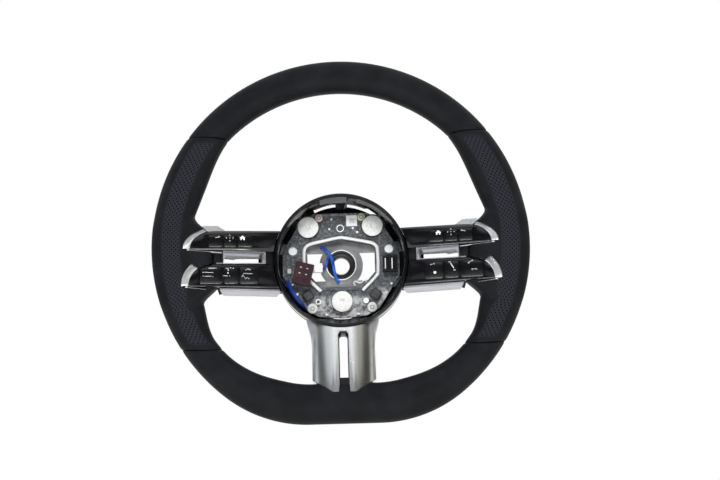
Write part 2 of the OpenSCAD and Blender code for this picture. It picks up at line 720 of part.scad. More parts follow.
// Everything outside the inner face of the rim's spoke roots
module beyond_root(gap) {
    translate([0, 0, rim_rise]) difference() {
        rod_y(rim_radius, -100, 0);
        rod_y(root_radius - gap, -101, 1);
    }
}
module housing(side) on_side(side) color("#26272a") difference() {
    on_spoke() difference() {
        housing_block(0);
        below_decks(0);
        slab(-1, 60) polygon(gap_shape(liner_wall + fit_gap, 0));
    }
    rod_y(hub_radius + 0.5, -100, 10);
    beyond_root(0.6);
    spoke_bar(upper_bar, seat_gap);
    spoke_bar(lower_bar, seat_gap);
}
// Satin silver sleeve that lines the slot between the decks
module gap_liner(side) on_side(side) color("#b4b5b9") on_spoke() difference() {
    union() {
        slab(1.5, housing_rear) polygon(gap_shape(liner_wall, 0));
        gap_ledge();
    }
    hull() {
        slab(1, 1.5) polygon(gap_shape(0, 0));
        slab(housing_rear, housing_rear + 0.5) polygon(gap_shape(0, 3));
    }
}
ledge_out = along(rim_radius - 64);
module gap_ledge() {
    slab(deck_thick - 3, deck_thick) translate([gap_out, low_deck_top + fit_gap])
        square([ledge_out - gap_out, 1.6]);
}
// Satin silver strip along the underside of the spoke
strip_out = along(rim_radius - 54);
module under_strip(side) on_side(side) color("#c3c4c8") difference() {
    on_spoke() translate([0, 0, low_deck_floor - 0.35]) rotate([0, -1.5, 0]) rotate([-6, 0, 0])
        intersection() {
            translate([-6, 2, -2.4]) cube([strip_out + 6, housing_rear - 1, 2.4]);
            translate([0, 0, -5]) linear_extrude(height = 10) polygon([[-10, 0], [strip_out, 0],
                [strip_out - 7, housing_rear + 4], [-10, housing_rear + 4]]);
        }
    rod_y(hub_radius + 0.8, -100, 10);
    beyond_root(0.6);
}

// Keys: [middle along the deck, middle height, width, height]. The outer key keeps its
// distance from the rim, and the inner ones share the deck between it and the hub.
deck_in = along(hub_radius);
back_key_width = 14;
rocker_width = 22;
function key_row(outer, width, shares, middle, height) =
    let(inner = outer - width / 2 - 2 * key_gap - deck_in)
    concat([[outer, middle, width, height]],
        [for (k = shares) [deck_in + k[0] * inner, middle, k[1] * inner, height]]);
upper_keys = key_row(along(rim_radius - 63), back_key_width, [[0.865, 0.264], [0.563, 0.305]],
    (deck_top + deck_floor) / 2, 12);
lower_keys = key_row(along(rim_radius - 58), rocker_width, [[0.834, 0.278], [0.489, 0.358]],
    (low_deck_top + low_deck_floor) / 2 + 0.5, 17);
module key_outline(k, grow) {
    translate([k[0], k[1]]) polygon(round_rect(k[2] + 2 * grow, k[3] + 2 * grow, 2 + grow));
}
module key_pockets(keys) {
    for (k = keys) slab(-1, key_thick + key_travel + seat_gap) key_outline(k, key_gap);
}
module deck_edges(top, bottom) {
    length = rim_radius - 45;
    translate([-20, 0, top - 2.6]) rotate([-45, 0, 0]) translate([0, -10, 0]) cube([length, 10, 12]);
    translate([-20, 0, bottom + 0.9]) rotate([-45, 0, 0])
        translate([0, -12, -10]) cube([length, 12, 10]);
}
// The decks and their keys share a face that is crowned from top to bottom
module crowned(top, bottom) intersection() {
    children();
    translate([-20, crown_radius, (top + bottom) / 2]) rotate([0, 90, 0])
        cylinder(r = crown_radius, h = rim_radius, $fn = 96);
}
module upper_deck(side) on_side(side) color("#17181b") difference() {
    on_spoke() difference() {
        crowned(deck_top, deck_floor) slab(-1, deck_thick) upper_deck_outline();
        deck_edges(deck_top, deck_floor);
        key_pockets(upper_keys);
    }
    rod_y(hub_radius + seat_gap, -100, 10);
}
module lower_deck(side) on_side(side) color("#17181b") difference() {
    on_spoke() difference() {
        crowned(low_deck_top, low_deck_floor) slab(-1, deck_thick) lower_deck_outline();
        deck_edges(low_deck_top, low_deck_floor);
        key_pockets(lower_keys);
    }
    rod_y(hub_radius + seat_gap, -100, 10);
}
module upper_blade(side) on_side(side) color("#d9dadd") on_spoke() {
    slab(-0.4, blade_thick) upper_blade_outline();
    slab(tail_front, blade_thick) tail_outline(upper_tail);
}
module lower_blade(side) on_side(side) color("#d9dadd") on_spoke() {
    slab(-0.4, blade_thick) lower_blade_outline();
    slab(tail_front, blade_thick) tail_outline(lower_tail);
}
module upper_key(side, k) on_side(side) color("#1d1e21") on_spoke()
    crowned(deck_top, deck_floor) slab(-1, key_thick) key_outline(k, 0);
module lower_key(side, k) on_side(side) color("#1d1e21") on_spoke()
    crowned(low_deck_top, low_deck_floor) slab(-1, key_thick) key_outline(k, 0);

// Shift paddles behind the side spokes, on upright pins
hinge_x = along(hub_radius + 20);
paddle_reach = along(rim_radius - paddle_inset) - hinge_x;
hinge_y = housing_rear + 6.5;
knuckle = pin_size / 2 + 1.6;
knuckle_low = 10;
knuckle_high = 22;
module paddle(side) on_side(side) color("#c9cacd") on_spoke() difference() {
    union() {
        slab(hinge_y - paddle_thick / 2, hinge_y + paddle_thick / 2) polygon(concat(
            [[hinge_x, knuckle_low], [hinge_x, knuckle_high], [hinge_x + 5, knuckle_high],
             [hinge_x + 0.25 * paddle_reach, 28],
             [hinge_x + 0.54 * paddle_reach, paddle_top - 2.5],
             [hinge_x + 0.62 * paddle_reach, paddle_top]],
            [for (s = [0 : 5]) let(a = 90 - s * 18)
                [hinge_x + paddle_reach - 5 + 5 * cos(a), paddle_top - 5 + 5 * sin(a)]],
            [[hinge_x + paddle_reach - 3, 20], [hinge_x + 0.67 * paddle_reach, 7],
             [hinge_x + 0.29 * paddle_reach, 5], [hinge_x + 5, knuckle_low]]));
        translate([hinge_x, hinge_y, knuckle_low]) cylinder(r = knuckle, h = knuckle_high - knuckle_low);
    }
    translate([hinge_x, hinge_y, 0]) cylinder(r = pin_size / 2 + run_gap, h = 40);
}
ear_gap = 0.3;
ear_thick = 3;
module paddle_bracket(side) on_side(side) color("#2f3033") on_spoke() difference() {
    union() {
        translate([hinge_x - 6, housing_rear, knuckle_low - ear_gap - ear_thick])
            cube([12, 1.6, knuckle_high - knuckle_low + 2 * (ear_gap + ear_thick)]);
        for (z = [knuckle_low - ear_gap - ear_thick, knuckle_high + ear_gap])
            translate([hinge_x, 0, z]) {
                translate([-4, housing_rear, 0]) cube([8, hinge_y - housing_rear, ear_thick]);
                translate([0, hinge_y, 0]) cylinder(r = 4, h = ear_thick);
            }
    }
    translate([hinge_x, hinge_y, -5]) cylinder(r = pin_size / 2, h = 50);
}
module paddle_pins() color("#d0d1d2") both_sides() on_spoke()
    translate([hinge_x, hinge_y, knuckle_low - ear_gap - ear_thick])
        cylinder(r = pin_size / 2, h = knuckle_high - knuckle_low + 2 * (ear_gap + ear_thick));

// Forked lower spoke
fork_end = (fork_tip_z - fork_z) / cos(fork_sweep);
slot_top = -9;
slot_end = fork_end + 15;
frame_wall = 1;
module fork_outline(grow = 0) {
    w = fork_half + grow;
    polygon([[-w - 6, 14], [w + 6, 14], [w + 4, 2], [w + 1, -9], [w, -20], [w, slot_end],
        [11 + grow, fork_end - grow], [-11 - grow, fork_end - grow], [-w, slot_end],
        [-w, -20], [-w - 1, -9], [-w - 4, 2]]);
}
// Section across the lower spoke: flat beside the slot, falling away to its edges
// in a slow curve, and then in a facet
facet_in = fork_half - 6;
function fork_face(x) = x > facet_in ? fork_crown + 0.75 * (x - facet_in)
    : fork_crown * pow(max(0, (x - 9) / (facet_in - 9)), 2.4);
function fork_section() =
    let(reach = fork_half + 7, half = [for (x = [9 : 2 : facet_in]) x],
        right = [for (x = concat(half, [facet_in, reach])) [x, fork_face(x)]])
    concat([for (k = [len(right) - 1 : -1 : 0]) [-right[k][0], right[k][1]]], right,
        [[reach, fork_depth + 1], [-reach, fork_depth + 1]]);
module slot_outline(grow) {
    w = slot_half + grow;
    polygon([[-w, fork_end - 2], [-w, slot_top - 2], [-w + 2, slot_top + grow],
        [w - 2, slot_top + grow], [w, slot_top - 2], [w, fork_end - 2]]);
}
module fork_trim() color("#cfd0d2") difference() {
    on_fork() difference() {
        intersection() {
            slab(0, fork_depth) fork_outline();
            translate([0, 0, fork_end - 1]) linear_extrude(height = 20 - fork_end)
                polygon(fork_section());
        }
        slab(-1, fork_depth + 1) slot_outline(frame_wall + fit_gap);
    }
    rod_y(hub_radius + 0.4, -100, 10);
    both_sides() fork_bar(seat_gap);
}
// Black cover behind the lower spoke
module fork_cover() color("#1b1b1d") difference() {
    on_fork() difference() {
        slab(fork_depth, fork_depth + cover_wall) fork_outline(-0.8);
        slab(-1, fork_depth + 5) slot_outline(frame_wall + fit_gap);
    }
    rod_y(hub_radius + 0.6, -100, 10);
    both_sides() fork_bar(seat_gap);
    translate([0, -rim_plane, rim_rise]) difference() {
        rod_y(rim_radius, -100, 100);
        rod_y(flat_drop - base_grip - 1, -101, 101);
    }
}
module slot_frame() color("#101012") on_fork() difference() {
    intersection() {
        slab(0.6, fork_depth) slot_outline(frame_wall);
        slab(0, fork_depth + 1) translate([-10, fork_end]) square([20, 80]);
    }
    slab(-1, fork_depth + 1) intersection() {
        slot_outline(0);
        translate([-10, slot_end]) square([20, 80]);
    }
}

// Connector of the airbag leads, on the left of the plate
module lead_connector() color("#4b3237") translate([28 - hub_radius, 0, -9.5]) rotate([0, 15, 0]) {
    wire_top = plate_front + rib_height + wire_size + 0.5;
    difference() {
        translate([-9, -wire_top - 9, -11]) cube([18, 9, 22]);
        for (x = [-5, 1.5], z = [-1, 5]) translate([x, -wire_top - 10, z]) cube([3, 2, 1.6]);
        for (z = [-8.5, -6]) translate([-7, -wire_top - 10, z]) cube([14, 1.8, 1]);
    }
    translate([-9, -wire_top - 1, -6]) cube([4, wire_top + 1 - plate_front, 12]);
}
module white_plug() color("#eeeeee")
    translate([seat_gap - window_side, -plate_front - 2, -7.6]) cube([15, 6, 9.5]);
function tube_rings(route, r, n) = [
    for (i = [0 : len(route) - 1])
        let(a = route[max(0, i - 1)], b = route[min(len(route) - 1, i + 1)],
            d = (b - a) / norm(b - a),
            e = cross(d, [0, 1, 0]),
            u = e / norm(e),
            v = cross(d, u))
        for (k = [0 : n - 1]) route[i] + r * (cos(k * 360 / n) * u + sin(k * 360 / n) * v)
];
module tube(route, r) {
    n = 8;
    m = len(route);
    cap_a = [for (k = [1 : n - 2]) [k + 1, k, 0]];
    cap_b = [for (k = [1 : n - 2]) [0, k, k + 1] + n * (m - 1) * [1, 1, 1]];
    polyhedron(points = tube_rings(route, r, n),
        faces = concat(split(quads(m, n, true)), cap_a, cap_b));
}
lead_size = 3;
long_lead = [[-20.5, -22.6, 18], [-18, -23.2, 17.2], [-15.2, -23.8, 15.2], [-12.4, -24, 12.2],
    [-10.2, -23.6, 8.6], [-8.7, -23, 4], [-7.8, -22.6, -1], [-7.2, -22.4, -6], [-6.2, -22.4, -11],
    [-4.8, -22.4, -15.5], [-2.6, -22.2, -19]];
plug_lead = [[-18.5, -23, -3], [-17.3, -23, -2.9], [-16, -23.6, -1.6], [-15, -24.4, 0.8],
    [-14.2, -24.9, 3.6], [-13.4, -25.2, 6.2], [-12.3, -25.6, 8.4]];
module airbag_leads() color("#2f62b8") {
    tube(long_lead, lead_size / 2);
    tube(plug_lead, lead_size / 2 - 0.2);
}
horn_route = [[-54.4, -28.4, -16.4], [-53.4, -31.5, -19.6], [-51.4, -37, -24.6], [-49, -41.5, -29.6],
    [-46, -44.5, -34.6], [-42.6, -44.6, -39], [-39.6, -41, -42.2], [-37.6, -35.5, -43.6],
    [-37, -30, -43.4]];
module horn_lead() color("#28418f") tube(horn_route, 2.2);
module contact_socket() color("#1b1c1e") translate([hub_radius - 24.5, -plate_front, -9])
    difference() {
        translate([0, -9, 0]) cube([14.5, 9, 16]);
        for (x = [1.5, 8]) translate([x, -10, 2]) cube([5, 8, 12]);
    }
module damper_pads() color("#333436") for (s = [RIGHT, LEFT])
    translate([s * (hub_radius - 32.5), 0, 35.5 - hub_radius]) rotate([0, s * 35, 0])
        slab(-plate_front - 4, -plate_front) polygon(round_rect(10, 10, 2));
module blank_label() color("#f0f0f0") slab(-plate_front - 0.3, -plate_front)
    translate([6.2, hub_radius - 27.5]) square([11, 11]);

armature();
hub_sleeve();
rim_foam();
leather_top();
leather_bottom();
leather_grip(LEFT);  // leather_left
leather_grip(RIGHT);  // leather_right
hub_bezel();
rear_cover();
carrier_plate();
carrier_screws();
retainer_wire();
horn_pad(0);  // horn_pad_left
horn_pad(1);  // horn_pad_right
horn_pad(2);  // horn_pad_lower
horn_spring(0);  // horn_spring_left
horn_spring(1);  // horn_spring_right
horn_spring(2);  // horn_spring_lower
housing(LEFT);  // housing_left
housing(RIGHT);  // housing_right
gap_liner(LEFT);  // gap_liner_left
gap_liner(RIGHT);  // gap_liner_right
upper_deck(LEFT);  // upper_deck_left
upper_deck(RIGHT);  // upper_deck_right
lower_deck(LEFT);  // lower_deck_left
lower_deck(RIGHT);  // lower_deck_right
upper_blade(LEFT);  // upper_blade_left
upper_blade(RIGHT);  // upper_blade_right
lower_blade(LEFT);  // lower_blade_left
lower_blade(RIGHT);  // lower_blade_right
under_strip(LEFT);  // under_strip_left
under_strip(RIGHT);  // under_strip_right
upper_key(LEFT, upper_keys[0]);  // back_key_left
upper_key(RIGHT, upper_keys[0]);  // back_key_right
upper_key(LEFT, upper_keys[1]);  // touch_key_left
upper_key(RIGHT, upper_keys[1]);  // touch_key_right
upper_key(LEFT, upper_keys[2]);  // home_key_left
upper_key(RIGHT, upper_keys[2]);  // home_key_right
lower_key(LEFT, lower_keys[0]);  // end_rocker_left
lower_key(RIGHT, lower_keys[0]);  // end_rocker_right
lower_key(LEFT, lower_keys[1]);  // mode_key_left
lower_key(RIGHT, lower_keys[1]);  // mode_key_right
lower_key(LEFT, lower_keys[2]);  // star_key_left
lower_key(RIGHT, lower_keys[2]);  // star_key_right
paddle(LEFT);  // paddle_left
paddle(RIGHT);  // paddle_right
paddle_bracket(LEFT);  // paddle_bracket_left
paddle_bracket(RIGHT);  // paddle_bracket_right
paddle_pins();
fork_trim();
fork_cover();
slot_frame();
lead_connector();
white_plug();
airbag_leads();
horn_lead();
contact_socket();
damper_pads();
blank_label();
felt_strips();
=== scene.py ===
import json
from math import asin, atan2, cos, degrees, pi, radians, sin, sqrt

import bmesh
import bpy
from mathutils import Matrix, Vector
from mathutils.bvhtree import BVHTree


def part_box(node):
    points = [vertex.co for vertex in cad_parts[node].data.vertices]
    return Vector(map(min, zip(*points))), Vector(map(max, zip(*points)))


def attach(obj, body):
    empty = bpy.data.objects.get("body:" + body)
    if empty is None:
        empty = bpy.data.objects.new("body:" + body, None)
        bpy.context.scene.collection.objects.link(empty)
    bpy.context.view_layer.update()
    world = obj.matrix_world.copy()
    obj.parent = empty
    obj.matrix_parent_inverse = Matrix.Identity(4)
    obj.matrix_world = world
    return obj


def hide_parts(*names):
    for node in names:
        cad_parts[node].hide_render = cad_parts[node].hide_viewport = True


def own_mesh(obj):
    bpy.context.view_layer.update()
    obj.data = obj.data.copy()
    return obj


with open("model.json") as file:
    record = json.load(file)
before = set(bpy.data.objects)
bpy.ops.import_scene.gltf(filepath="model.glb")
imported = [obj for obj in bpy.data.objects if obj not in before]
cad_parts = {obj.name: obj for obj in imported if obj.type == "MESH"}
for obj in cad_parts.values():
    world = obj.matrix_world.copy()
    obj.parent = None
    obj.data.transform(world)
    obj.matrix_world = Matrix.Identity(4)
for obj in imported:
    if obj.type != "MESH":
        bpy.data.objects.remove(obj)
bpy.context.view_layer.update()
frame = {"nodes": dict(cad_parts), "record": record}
MM = 0.001

# The place it is shown in: a pale floor and backdrop, and a camera that looks up at
# the wheel a little from below, rolled as the hand that held it was
rim_y = -74
rim_rise = 12
rim_middle = Vector((0, rim_y * MM, rim_rise * MM))
camera_distance = 1.55
look_up = radians(7.5)
roll = radians(1.6)
sight = Vector((0, cos(look_up), sin(look_up)))
level_up = Vector((0, -sin(look_up), cos(look_up)))
level_right = Vector((1, 0, 0))
camera_up = level_up * cos(roll) + level_right * sin(roll)
camera_right = level_right * cos(roll) - level_up * sin(roll)

camera_data = bpy.data.cameras.new("camera")
camera_data.sensor_width = 36
camera_data.lens = 79.06
camera_data.shift_x = 0.0268
camera_data.shift_y = 0.0089
camera_data.clip_end = 40
camera = bpy.data.objects.new("camera", camera_data)
bpy.context.scene.collection.objects.link(camera)
facing = Matrix((camera_right, camera_up, -sight)).transposed().to_4x4()
camera.matrix_world = Matrix.Translation(rim_middle - sight * camera_distance) @ facing
bpy.context.scene.camera = camera
bpy.context.scene.view_settings.view_transform = "Standard"


class Wire:
    """A value in a finish's nodes, on which Python's own operators work."""

    def __init__(self, nodes, socket):
        self.nodes = nodes
        self.socket = socket

    def maths(self, operation, *others):
        sockets = dict(enumerate((self, *others)))
        return self.nodes.add("ShaderNodeMath", {"operation": operation}, sockets)

    def __add__(self, other):
        return self.maths("ADD", other)

    def __sub__(self, other):
        return self.maths("SUBTRACT", other)

    def __rsub__(self, other):
        return (self * -1).maths("ADD", other)

    def __mul__(self, other):
        return self.maths("MULTIPLY", other)

    def __truediv__(self, other):
        return self.maths("DIVIDE", other)

    __radd__ = __add__
    __rmul__ = __mul__

    def clip(self, low, high):
        return self.maths("MAXIMUM", low).maths("MINIMUM", high)

    def step(self, low, high):
        """0 below low and 1 above high, with a soft change between them."""
        sockets = {"Value": self, "From Min": low, "From Max": high}
        return self.nodes.add("ShaderNodeMapRange", {"interpolation_type": "SMOOTHSTEP"}, sockets)


class Nodes:
    """The nodes of a material or of the world."""

    def __init__(self, tree):
        self.tree = tree

    def add(self, kind, settings, sockets, out=0):
        node = self.tree.nodes.new(kind)
        for key, value in settings.items():
            setattr(node, key, value)
        for key, value in sockets.items():
            self.join(node.inputs[key], value)
        return Wire(self, node.outputs[out])

    def join(self, socket, value):
        if isinstance(value, Wire):
            self.tree.links.new(value.socket, socket)
        else:
            socket.default_value = value

    def parts(self, vector):
        node = self.tree.nodes.new("ShaderNodeSeparateXYZ")
        self.join(node.inputs[0], vector)
        return [Wire(self, output) for output in node.outputs]

    def rays(self, *kinds):
        """1 for the rays that a kind of surface sends out, and for the camera's."""
        path = self.tree.nodes.new("ShaderNodeLightPath")
        seen = Wire(self, path.outputs["Is Camera Ray"])
        for kind in kinds:
            seen = seen + Wire(self, path.outputs[kind])
        return seen.clip(0, 1)

    def blend(self, amount, first, second):
        settings = {"data_type": "RGBA"}
        sockets = {0: amount, 6: first, 7: second}
        return self.add("ShaderNodeMix", settings, sockets, out=2)


class Finish(Nodes):
    """One material: its shader, and the nodes that feed it."""

    def __init__(self, name, colour, roughness, metallic=0.0, **more):
        self.material = bpy.data.materials.new(name)
        self.material.use_nodes = True
        super().__init__(self.material.node_tree)
        self.shader = self.tree.nodes["Principled BSDF"]
        self.paint(Base_Color=(*colour, 1.0), Roughness=roughness, Metallic=metallic, **more)

    def paint(self, **sockets):
        for key, value in sockets.items():
            self.join(self.shader.inputs[key.replace("_", " ")], value)

    def layer(self, amount, colour, roughness, specular):
        """Another finish that lies over this one where amount is 1."""
        over = self.add("ShaderNodeBsdfPrincipled", {}, {
            "Base Color": (*colour, 1.0), "Roughness": roughness, "Specular IOR Level": specular})
        surface = self.tree.nodes["Material Output"].inputs["Surface"]
        below = Wire(self, surface.links[0].from_socket)
        self.join(surface, self.add("ShaderNodeMixShader", {}, {0: amount, 1: below, 2: over}))

    def place(self):
        return self.add("ShaderNodeTexCoord", {}, {}, out=3)

    def chart(self):
        return self.add("ShaderNodeUVMap", {"uv_map": "chart"}, {})

    def noise(self, vector, scale, detail=3.0, roughness=0.55):
        sockets = {"Vector": vector, "Scale": scale, "Detail": detail, "Roughness": roughness}
        return self.add("ShaderNodeTexNoise", {}, sockets)

    def cells(self, vector, scale, feature="F1"):
        sockets = {"Vector": vector, "Scale": scale}
        return self.add("ShaderNodeTexVoronoi", {"feature": feature}, sockets)

    def bump(self, height, distance, strength=1.0):
        sockets = {"Height": height, "Distance": distance, "Strength": strength}
        return self.add("ShaderNodeBump", {}, sockets)


# The room, as the wheel's gloss and metal show it: bright at both sides and high up,
# a grey floor before the wheel and a dark stretch above that, and white to the camera
world = bpy.data.worlds.new("studio")
world.use_nodes = True
room = Nodes(world.node_tree)
east, north, height = room.parts(room.add("ShaderNodeTexCoord", {}, {}))
level = (east * east + north * north).maths("SQRT").maths("MAXIMUM", 0.001)
towards_front = north * -1 / level
ahead = towards_front.step(0.72, 0.92)
beside = 1 - towards_front.step(0.1, 0.45)
low_front = ahead * (1 - height.step(0.02, 0.12))
high_front = ahead * height.step(0.26, 0.4)
ceiling = height.step(0.55, 0.85)
lit = 0.03 + 0.34 * low_front + 0.72 * high_front + 0.9 * beside + 0.15 * ceiling
tint = room.blend(east.step(-0.5, 0.5), (0.88, 0.94, 1.0, 1), (1.0, 1.0, 0.94, 1))
background = world.node_tree.nodes["Background"]
seen = room.rays()
room.join(background.inputs["Color"], room.blend(seen, tint, (1, 1, 1, 1)))
room.join(background.inputs["Strength"], seen + (1 - seen) * lit.clip(0, 1))
bpy.context.scene.world = world


lamp_aim = Vector((0, 0, 0))


def lamp(name, place, size, power, mirrored=True):
    """A softbox that faces the wheel, and is seen in its gloss only when mirrored."""
    data = bpy.data.lights.new(name, "AREA")
    data.shape = "RECTANGLE"
    data.size, data.size_y = size
    data.energy = power
    thing = bpy.data.objects.new(name, data)
    bpy.context.scene.collection.objects.link(thing)
    thing.visible_glossy = mirrored
    turn = (lamp_aim - Vector(place)).to_track_quat("-Z", "Y")
    thing.matrix_world = Matrix.Translation(place) @ turn.to_matrix().to_4x4()


lamp("top_softbox", (0.2, -0.9, 1.7), (1.4, 0.8), 18, mirrored=False)
lamp("front_softbox", (0, -1.6, 0.85), (0.5, 0.3), 25, mirrored=False)
lamp("left_softbox", (-2.2, -0.6, 0.5), (0.6, 1.4), 12, mirrored=False)
lamp("right_softbox", (2.2, -0.5, 0.3), (0.5, 1.3), 8, mirrored=False)
lamp("low_strip", (0, -1.3, -0.44), (1.5, 0.05), 3.5)


def object_of(name, bm, finish):
    """An object at the origin, made of a bmesh and given a finish."""
    mesh = bpy.data.meshes.new(name)
    bm.to_mesh(mesh)
    bm.free()
    mesh.materials.append(finish.material)
    thing = bpy.data.objects.new(name, mesh)
    bpy.context.scene.collection.objects.link(thing)
    return thing


def studio_finish(name, shade):
    """Pale, and plain white to the camera and in reflections."""
    finish = Finish(name, (shade, shade, shade), 0.9)
    seen = finish.rays("Is Glossy Ray", "Is Transmission Ray")
    glow = finish.add("ShaderNodeEmission", {}, {"Color": (1, 1, 1, 1), "Strength": 1.0})
    surface = Wire(finish, finish.shader.outputs[0])
    mixed = finish.add("ShaderNodeMixShader", {}, {0: seen, 1: surface, 2: glow})
    finish.join(finish.tree.nodes["Material Output"].inputs["Surface"], mixed)
    return finish


wall_half = 7
backdrop = bmesh.new()
bmesh.ops.create_grid(backdrop, x_segments=1, y_segments=1, size=wall_half,
                      matrix=Matrix.Translation((0, 4, 3)) @ Matrix.Rotation(pi / 2, 4, "X"))
object_of("backdrop", backdrop, studio_finish("backdrop_white", 0.85))
floor = bmesh.new()
bmesh.ops.create_grid(floor, x_segments=1, y_segments=1, size=wall_half,
                      matrix=Matrix.Translation((0, -1, -0.5)))
object_of("floor", floor, studio_finish("floor_white", 0.8))


# The leather cover of the rim: four panels of cowhide, glued over moulded foam and
# sewn together along the inside of the rim. The two grips are perforated, the top and
# the bottom are smooth, and the panels meet in seams that lean across the rim.
rim_radius = 185
corner_radius = 130
flat_drop = 173
rim_thick = 30
side_grip = 32
flat_grip = 40
root_radius = 126
top_seam_rise = 111
low_seam_drop = 98
seam_lean = 7.8
leather_thick = 1.2
corner_z = corner_radius - flat_drop
corner_x = sqrt((rim_radius - corner_radius) ** 2 - corner_z ** 2)
corner_start = degrees(atan2(corner_z, corner_x))
flat_start = degrees(atan2(-flat_drop, corner_x))
top_seam = degrees(asin(top_seam_rise / rim_radius))
low_seam = -degrees(asin(low_seam_drop / rim_radius))


def ease(t):
    """0 up to 0 and 1 from 1, with a soft change between them."""
    t = min(max(t, 0), 1)
    return t * t * (3 - 2 * t)


def hump(a, middle, half):
    """1 at the middle, down to 0 at half a width on either side."""
    share = (a - middle) / half
    return max(1 - share * share, 0) ** 2


def outer_radius(a):
    """The rim's outer edge: round, with tight corners down to the flat."""
    if a >= corner_start:
        return rim_radius
    if a < flat_start:
        return -flat_drop / sin(radians(a))
    along = cos(radians(a)) * corner_x + sin(radians(a)) * corner_z
    return along + sqrt(along ** 2 - corner_x ** 2 - corner_z ** 2 + corner_radius ** 2)


def root(a):
    """1 where the rim flares in to a side spoke, and 0 elsewhere."""
    return ease((13.5 - a) / 8) * ease((a + 21.5) / 5)


def inner_radius(a):
    """The rim's inner edge: wider at the flat, swollen at the thumbs, flared at a spoke."""
    grip = flat_grip - (flat_grip - side_grip) * ease((a + 68) / 28)
    grip += 8.5 * hump(a, 22, 26) + 9 * hump(a, -17, 19)
    edge = outer_radius(a) - grip
    return edge + (root_radius - edge) * root(a)


def folded(turn):
    """The side of the rim that turn is on, and the angle there above the horizontal."""
    if 90 < turn <= 270:
        return -1, 180 - turn
    return 1, turn - 360 if turn > 270 else turn


def rim_point(turn, u, inset):
    """A point of the leather, turn degrees round the rim and u round its section."""
    side, a = folded(turn)
    lean = seam_lean * (hump(a, top_seam, 30) - hump(a, low_seam, 20))
    a += lean * (1 - cos(u)) / 2
    far = outer_radius(a) - inset
    near = inner_radius(a) + inset
    r = (far + near) / 2 + (far - near) / 2 * cos(u)
    power = 0.86 - 0.46 * root(a)
    bulge = abs(sin(u)) ** power * (1 if sin(u) > 0 else -1)
    y = rim_y - (rim_thick / 2 - inset) * bulge
    return Vector((side * r * cos(radians(a)), y, rim_rise + r * sin(radians(a)))) * MM


def across_front(turn, u):
    """Millimetres from the rim's outer edge over its front, and on over its back."""
    a = folded(turn)[1]
    width = outer_radius(a) - inner_radius(a)
    gone = width * (1 - cos(u)) / 2
    return gone if u <= pi else 2 * width - gone


section_steps = 72
section_radius = 16
turn_step = 0.5
inner_seam = radians(204)
grip_radius = 165
sewn_depth = 0.75
sewn_reach = 1.1
rolled_depth = 0.8
rolled_reach = 0.9
deepest_inset = 1.15


def panel_inset(turn, u, first, last):
    """How far the leather is drawn in by its seams."""
    across = (u - inner_seam) * section_radius
    sewn = sewn_depth * 2.7 ** -(across / sewn_reach) ** 2
    end = min(turn - first, last - turn) * pi / 180 * grip_radius
    rolled = rolled_depth * 2.7 ** -(end / rolled_reach)
    return min(sewn + rolled, deepest_inset)


def leather_panel(name, first, last, finish):
    """One panel, from one seam to the next, as a closed shell of leather."""
    steps = int((last - first) / turn_step)
    bm = bmesh.new()
    chart = bm.loops.layers.uv.new("chart")
    bmesh.ops.create_grid(bm, x_segments=steps, y_segments=section_steps, size=0.5)
    places = {}
    for vert in bm.verts:
        turn = first + (last - first) * (vert.co.x + 0.5)
        u = (vert.co.y + 0.5) * 2 * pi
        places[vert] = (turn, u)
    for face in bm.faces:
        for loop in face.loops:
            turn, u = places[loop.vert]
            loop[chart].uv = (radians(turn) * grip_radius * MM, across_front(turn, u) * MM)
    outer = list(bm.verts)
    inner = {}
    copied = bmesh.ops.duplicate(bm, geom=bm.verts[:] + bm.edges[:] + bm.faces[:])
    for vert in outer:
        inner[copied["vert_map"][vert]] = places[vert]
    for vert in outer:
        turn, u = places[vert]
        vert.co = rim_point(turn, u, panel_inset(turn, u, first, last))
    for vert, (turn, u) in inner.items():
        vert.co = rim_point(turn, u, leather_thick)
    inside = [face for face in bm.faces if face.verts[0] in inner]
    bmesh.ops.reverse_faces(bm, faces=inside)
    bmesh.ops.remove_doubles(bm, verts=bm.verts, dist=1e-6)
    middle = rim_point((first + last) / 2, 0, 0)
    open_edges = [edge for edge in bm.edges if edge.is_boundary]
    for end in (first, last):
        seam = rim_point(end, 0, 0)
        near = [edge for edge in open_edges
                if (edge.verts[0].co - seam).length < (edge.verts[0].co - middle).length]
        bmesh.ops.bridge_loops(bm, edges=near)
    bmesh.ops.recalc_face_normals(bm, faces=bm.faces)
    return object_of(name, bm, finish)


cover_seams = (low_seam, top_seam, 180 - top_seam, 180 - low_seam, 360 + low_seam)
hole_pitch = 2.9
hole_size = 1.6
band_middle = 19.5
band_half = 9


